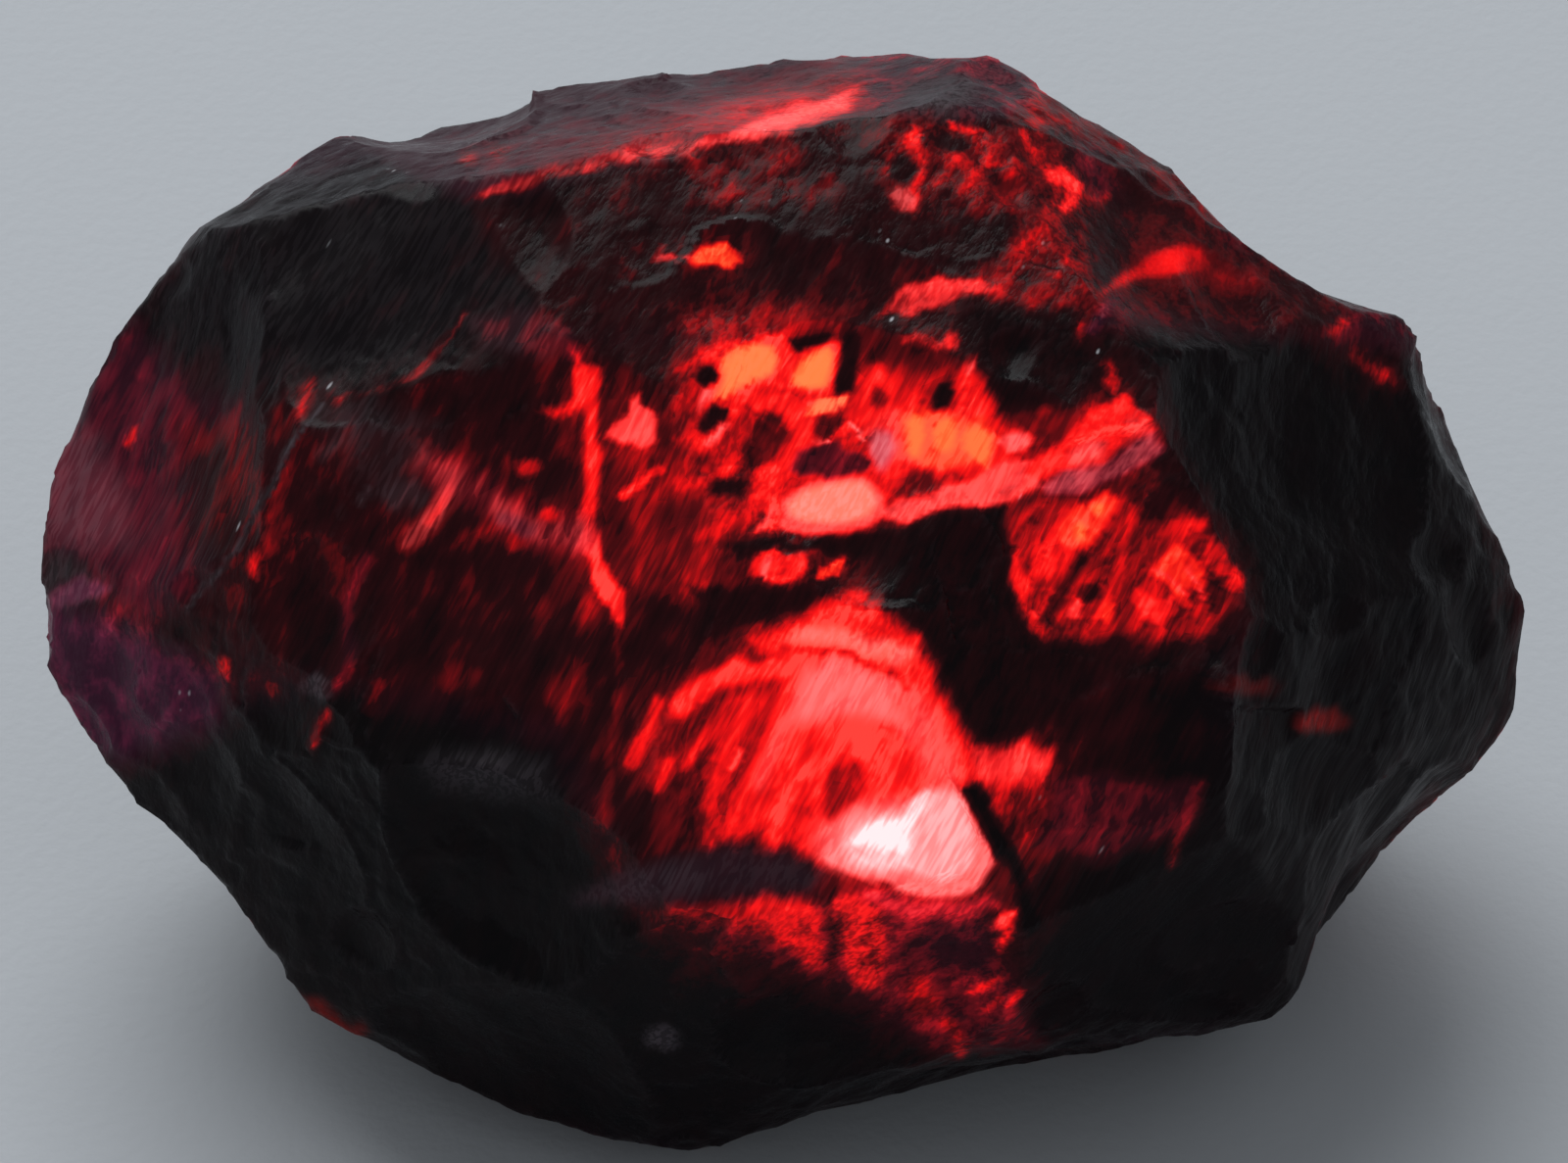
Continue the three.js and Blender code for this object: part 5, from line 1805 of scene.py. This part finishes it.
# %% [markdown]
# ## The crystal
#
# The body is see-through with painite's high refractive index, and its inside swallows green
# and blue at once and red a little later, so only thin edges let light pass. The painted tones are
# broken up by the crystal's grain: long slanting fibres, wider bands, and flakes between them.

# %% The crystal's grain
crystal = bpy.data.materials.new("painite_crystal")
crystal.use_nodes = True
tree = crystal.node_tree
tree.nodes.clear()
output = tree.nodes.new("ShaderNodeOutputMaterial")
place = Wire(tree.nodes.new("ShaderNodeTexCoord").outputs["Object"])


def tone(name):
    return place.node("Attribute", {"attribute_name": "tone " + name}, {}, output="Fac")


def stretched(along, across):
    """Texture coordinates with so many features a millimetre along the grain and across it."""
    return grained.node("VectorMath", {"operation": "MULTIPLY"}, {0: grained, 1: (along, across, across)})


def noise(spots):
    return place.node("TexNoise", {}, {"Vector": spots, "Scale": 1.0, "Detail": 1.0}, output="Fac")


turned = {"Rotation": (-FACE_TILT, 0.0, -GRAIN_TURN), "Scale": (1 / MM, 1 / MM, 1 / MM)}
grained = place.node("Mapping", {}, {"Vector": place, **turned})
fibres = noise(stretched(1.6, 15.0)).ranged(0.34, 0.66)
bands = noise(stretched(0.7, 3.4)).ranged(0.3, 0.7)
flakes = place.node("TexVoronoi", {}, {"Vector": stretched(1.3, 5.6), "Scale": 1.0}, output="Color")
flake = flakes.node("SeparateColor", {}, {0: flakes})
flake_heart = 1 - Wire(flakes.socket.node.outputs["Distance"]).ranged(0.04, 0.2)

heat, warm, pale, violet, green = (tone(name) for name in ("heat", "warm", "pale", "violet", "green"))
haze, grain, glints, crest = (tone(name) for name in ("haze", "grain", "glint", "crest"))
stir = (0.10 + 0.14 * heat) * (fibres - 0.5) + 0.24 * (bands - 0.5) + 0.16 * (flake - 0.5)
glow = (heat + stir * grain * heat.ranged(0.0, 0.6, 0.15, 1.0)).clamped(0.0, 1.2)
print("shader nodes for the grain:", len(tree.nodes))

# %% [markdown]
# ## Light to colour
#
# A ramp turns the amount of light into colour: dark red, scarlet, then coral, as a deep red stone
# does when more and more light comes through. Thin panes follow an orange ramp and the lobes a violet
# one, and milk whitens what is brightest. A single tint made stronger would never turn orange or pink.

# %% Ramps from light to colour
RED = [
    (0.00, rgb(1, 1, 2)), (0.12, rgb(6, 2, 3)), (0.30, rgb(36, 4, 7)), (0.45, rgb(92, 7, 12)),
    (0.60, rgb(162, 9, 14)), (0.72, rgb(220, 12, 16)), (0.84, rgb(255, 18, 18)), (0.93, rgb(255, 40, 34)),
    (1.00, rgb(255, 66, 58)),
]
ORANGE = [
    (0.00, rgb(4, 2, 1)), (0.45, rgb(120, 14, 8)), (0.70, rgb(240, 34, 12)), (0.85, rgb(255, 84, 34)),
    (1.00, rgb(255, 148, 66)),
]
VIOLET = [
    (0.00, rgb(2, 1, 3)), (0.30, rgb(30, 10, 24)), (0.45, rgb(66, 20, 42)), (0.70, rgb(140, 48, 80)),
    (1.00, rgb(226, 120, 150)),
]
MILK = paint(255, 240, 243)
milk = (pale * pale * glow.ranged(0.35, 0.95) * (0.62 + 0.5 * fibres)).clamped()
light = warm.between(glow.colour(RED), glow.colour(ORANGE))
light = violet.between(light, glow.colour(VIOLET))
light = milk.between(light, MILK)

# %% [markdown]
# ## The body, its painted sheen and dust, and its shine
#
# Where no light comes through, the stone is nearly black: wine in the lobes, a breath of green below.
# Grey painted into the base colour lies on the ledges, following the fibres: a painted sheen, partly
# dust, and on the crests wear. A glint, a painted white highlight, shows only in the heart of a flake,
# so it stays a point. Roughness follows the same bands, and a slight bump ripples the shine finer than
# the mesh can.

# %% The crystal's finish
BLACK = paint(8, 6, 7)
WINE = paint(52, 18, 36)
GREEN_BLACK = paint(9, 12, 11)
# painted grey sheen, partly dust, and wear on the crests all use this grey
SHEEN_AND_DUST_GREY = paint(92, 84, 90)
# the white of the painted highlights
SPARK = paint(235, 235, 240)
dark = violet.between(BLACK, WINE)
dark = green.between(dark, GREEN_BLACK)
# the share of grey: painted sheen and dust where the tone sets it, wear on the crests
sheen_dust_and_wear = (haze * fibres.ranged(0.3, 0.7, 0.5, 1.1) + 0.06 * crest * fibres.ranged(0.45, 0.65)).clamped()
body = sheen_dust_and_wear.between(dark, SHEEN_AND_DUST_GREY)
# painted highlights: white in a flake's heart where a glint is set
body = (glints * flake_heart).between(body, SPARK)

shine = 0.2 + 0.12 * bands + 0.10 * fibres + 0.2 * haze
ripple = place.node("Bump", {}, {"Strength": 0.2, "Distance": 0.00006, "Height": 0.25 * fibres + bands},
                    output="Normal")
surface = place.node("BsdfPrincipled", {}, {
    "Base Color": body, "Roughness": shine, "Normal": ripple, "IOR": 1.8, "Transmission Weight": 0.05,
    "Specular IOR Level": 0.02, "Emission Color": light, "Emission Strength": 1.0,
})
inside = place.node("VolumeAbsorption", {}, {"Color": (0.80, 0.02, 0.05, 1.0), "Density": 900.0})
tree.links.new(surface.socket, output.inputs["Surface"])
tree.links.new(inside.socket, output.inputs["Volume"])
crystal.cycles.emission_sampling = "NONE"  # the glow is too dim to light the paper
stone_piece.data.materials.append(crystal)
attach(stone_piece, "root")
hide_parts("painite_rough")
print("shader nodes in the crystal:", len(tree.nodes))

# %% [markdown]
# ## Paper
#
# The stone lies on pale paper: a plane with a faint tooth. The tooth is only a bump, because at this
# distance nobody sees its edge, and real fibres would take millions of faces.

# %% Paper
paper = bpy.data.materials.new("pale_paper")
paper.use_nodes = True
sheet = paper.node_tree.nodes["Principled BSDF"]
spot = Wire(paper.node_tree.nodes.new("ShaderNodeTexCoord").outputs["Object"])
tooth = spot.node("TexNoise", {}, {"Vector": spot, "Scale": 5000.0, "Detail": 3.0}, output="Fac")
pressed = spot.node("Bump", {}, {"Strength": 0.25, "Distance": 0.00004, "Height": tooth}, output="Normal")
paper.node_tree.links.new(pressed.socket, sheet.inputs["Normal"])
sheet.inputs["Base Color"].default_value = (0.60, 0.62, 0.65, 1.0)
sheet.inputs["Roughness"].default_value = 0.85

bpy.ops.mesh.primitive_plane_add(size=4)
table_top = bpy.context.object
table_top.name = "paper"
table_top.data.materials.append(paper)
print("paper, metres:", tuple(table_top.dimensions[:2]))

# %% [markdown]
# ## Lamp and room
#
# One lamp, soft as a window, stands behind the stone and high, so the broad face stays dark and shows
# its own light, while the crown catches a soft grey shine. An even room fills the shadows. An
# image of a real room would add reflections of things that aren't here.

# %% Lamp and room
LAMP_PLACE = Vector((-0.16, 0.46, 0.50))
LAMP_AIM = Vector((0, 0, 0.005))
lamp = bpy.data.lights.new("window", "AREA")
lamp.size = 0.6
lamp.energy = 3.9
lamp.color = (0.95, 0.98, 1.0)
holder = bpy.data.objects.new("window", lamp)
holder.location = LAMP_PLACE
holder.rotation_euler = (LAMP_AIM - LAMP_PLACE).to_track_quat("-Z", "Y").to_euler()
bpy.context.scene.collection.objects.link(holder)

room = bpy.data.worlds.new("room")
room.use_nodes = True
room.node_tree.nodes["Background"].inputs["Color"].default_value = (0.9, 0.95, 1.0, 1.0)
room.node_tree.nodes["Background"].inputs["Strength"].default_value = 0.26
bpy.context.scene.world = room
bpy.context.scene.view_settings.view_transform = "Standard"
bpy.context.scene.cycles.max_bounces = 4
bpy.context.scene.cycles.transmission_bounces = 2
print("lamp's distance, metres:", round((LAMP_AIM - LAMP_PLACE).length, 2))

# %% [markdown]
# ## Camera
#
# It looks squarely at the broad face, from far off for so small a thing, which keeps the stone's
# proportions true. The lens is worked out from how many millimetres the frame is wide.

# %% Camera
FRAME_WIDTH = 1600 / 69.2  # millimetres: 1600 pixels, with 69.2 to a millimetre of the stone
FACE_CENTRE = Vector((-shift[0], -shift[1], FACE_HEIGHT)) * MM
camera = bpy.data.cameras.new("camera")
camera.sensor_width = 36.0
camera.lens = camera.sensor_width * EYE / FRAME_WIDTH
camera.clip_start = 0.001
view = bpy.data.objects.new("camera", camera)
view.location = FACE_CENTRE + Vector(FACE_AXES[:, 2]) * EYE * MM
view.rotation_euler = (math.pi / 2 - FACE_TILT, 0, 0)
bpy.context.scene.collection.objects.link(view)
bpy.context.scene.camera = view
print("lens, mm:", round(camera.lens, 1))
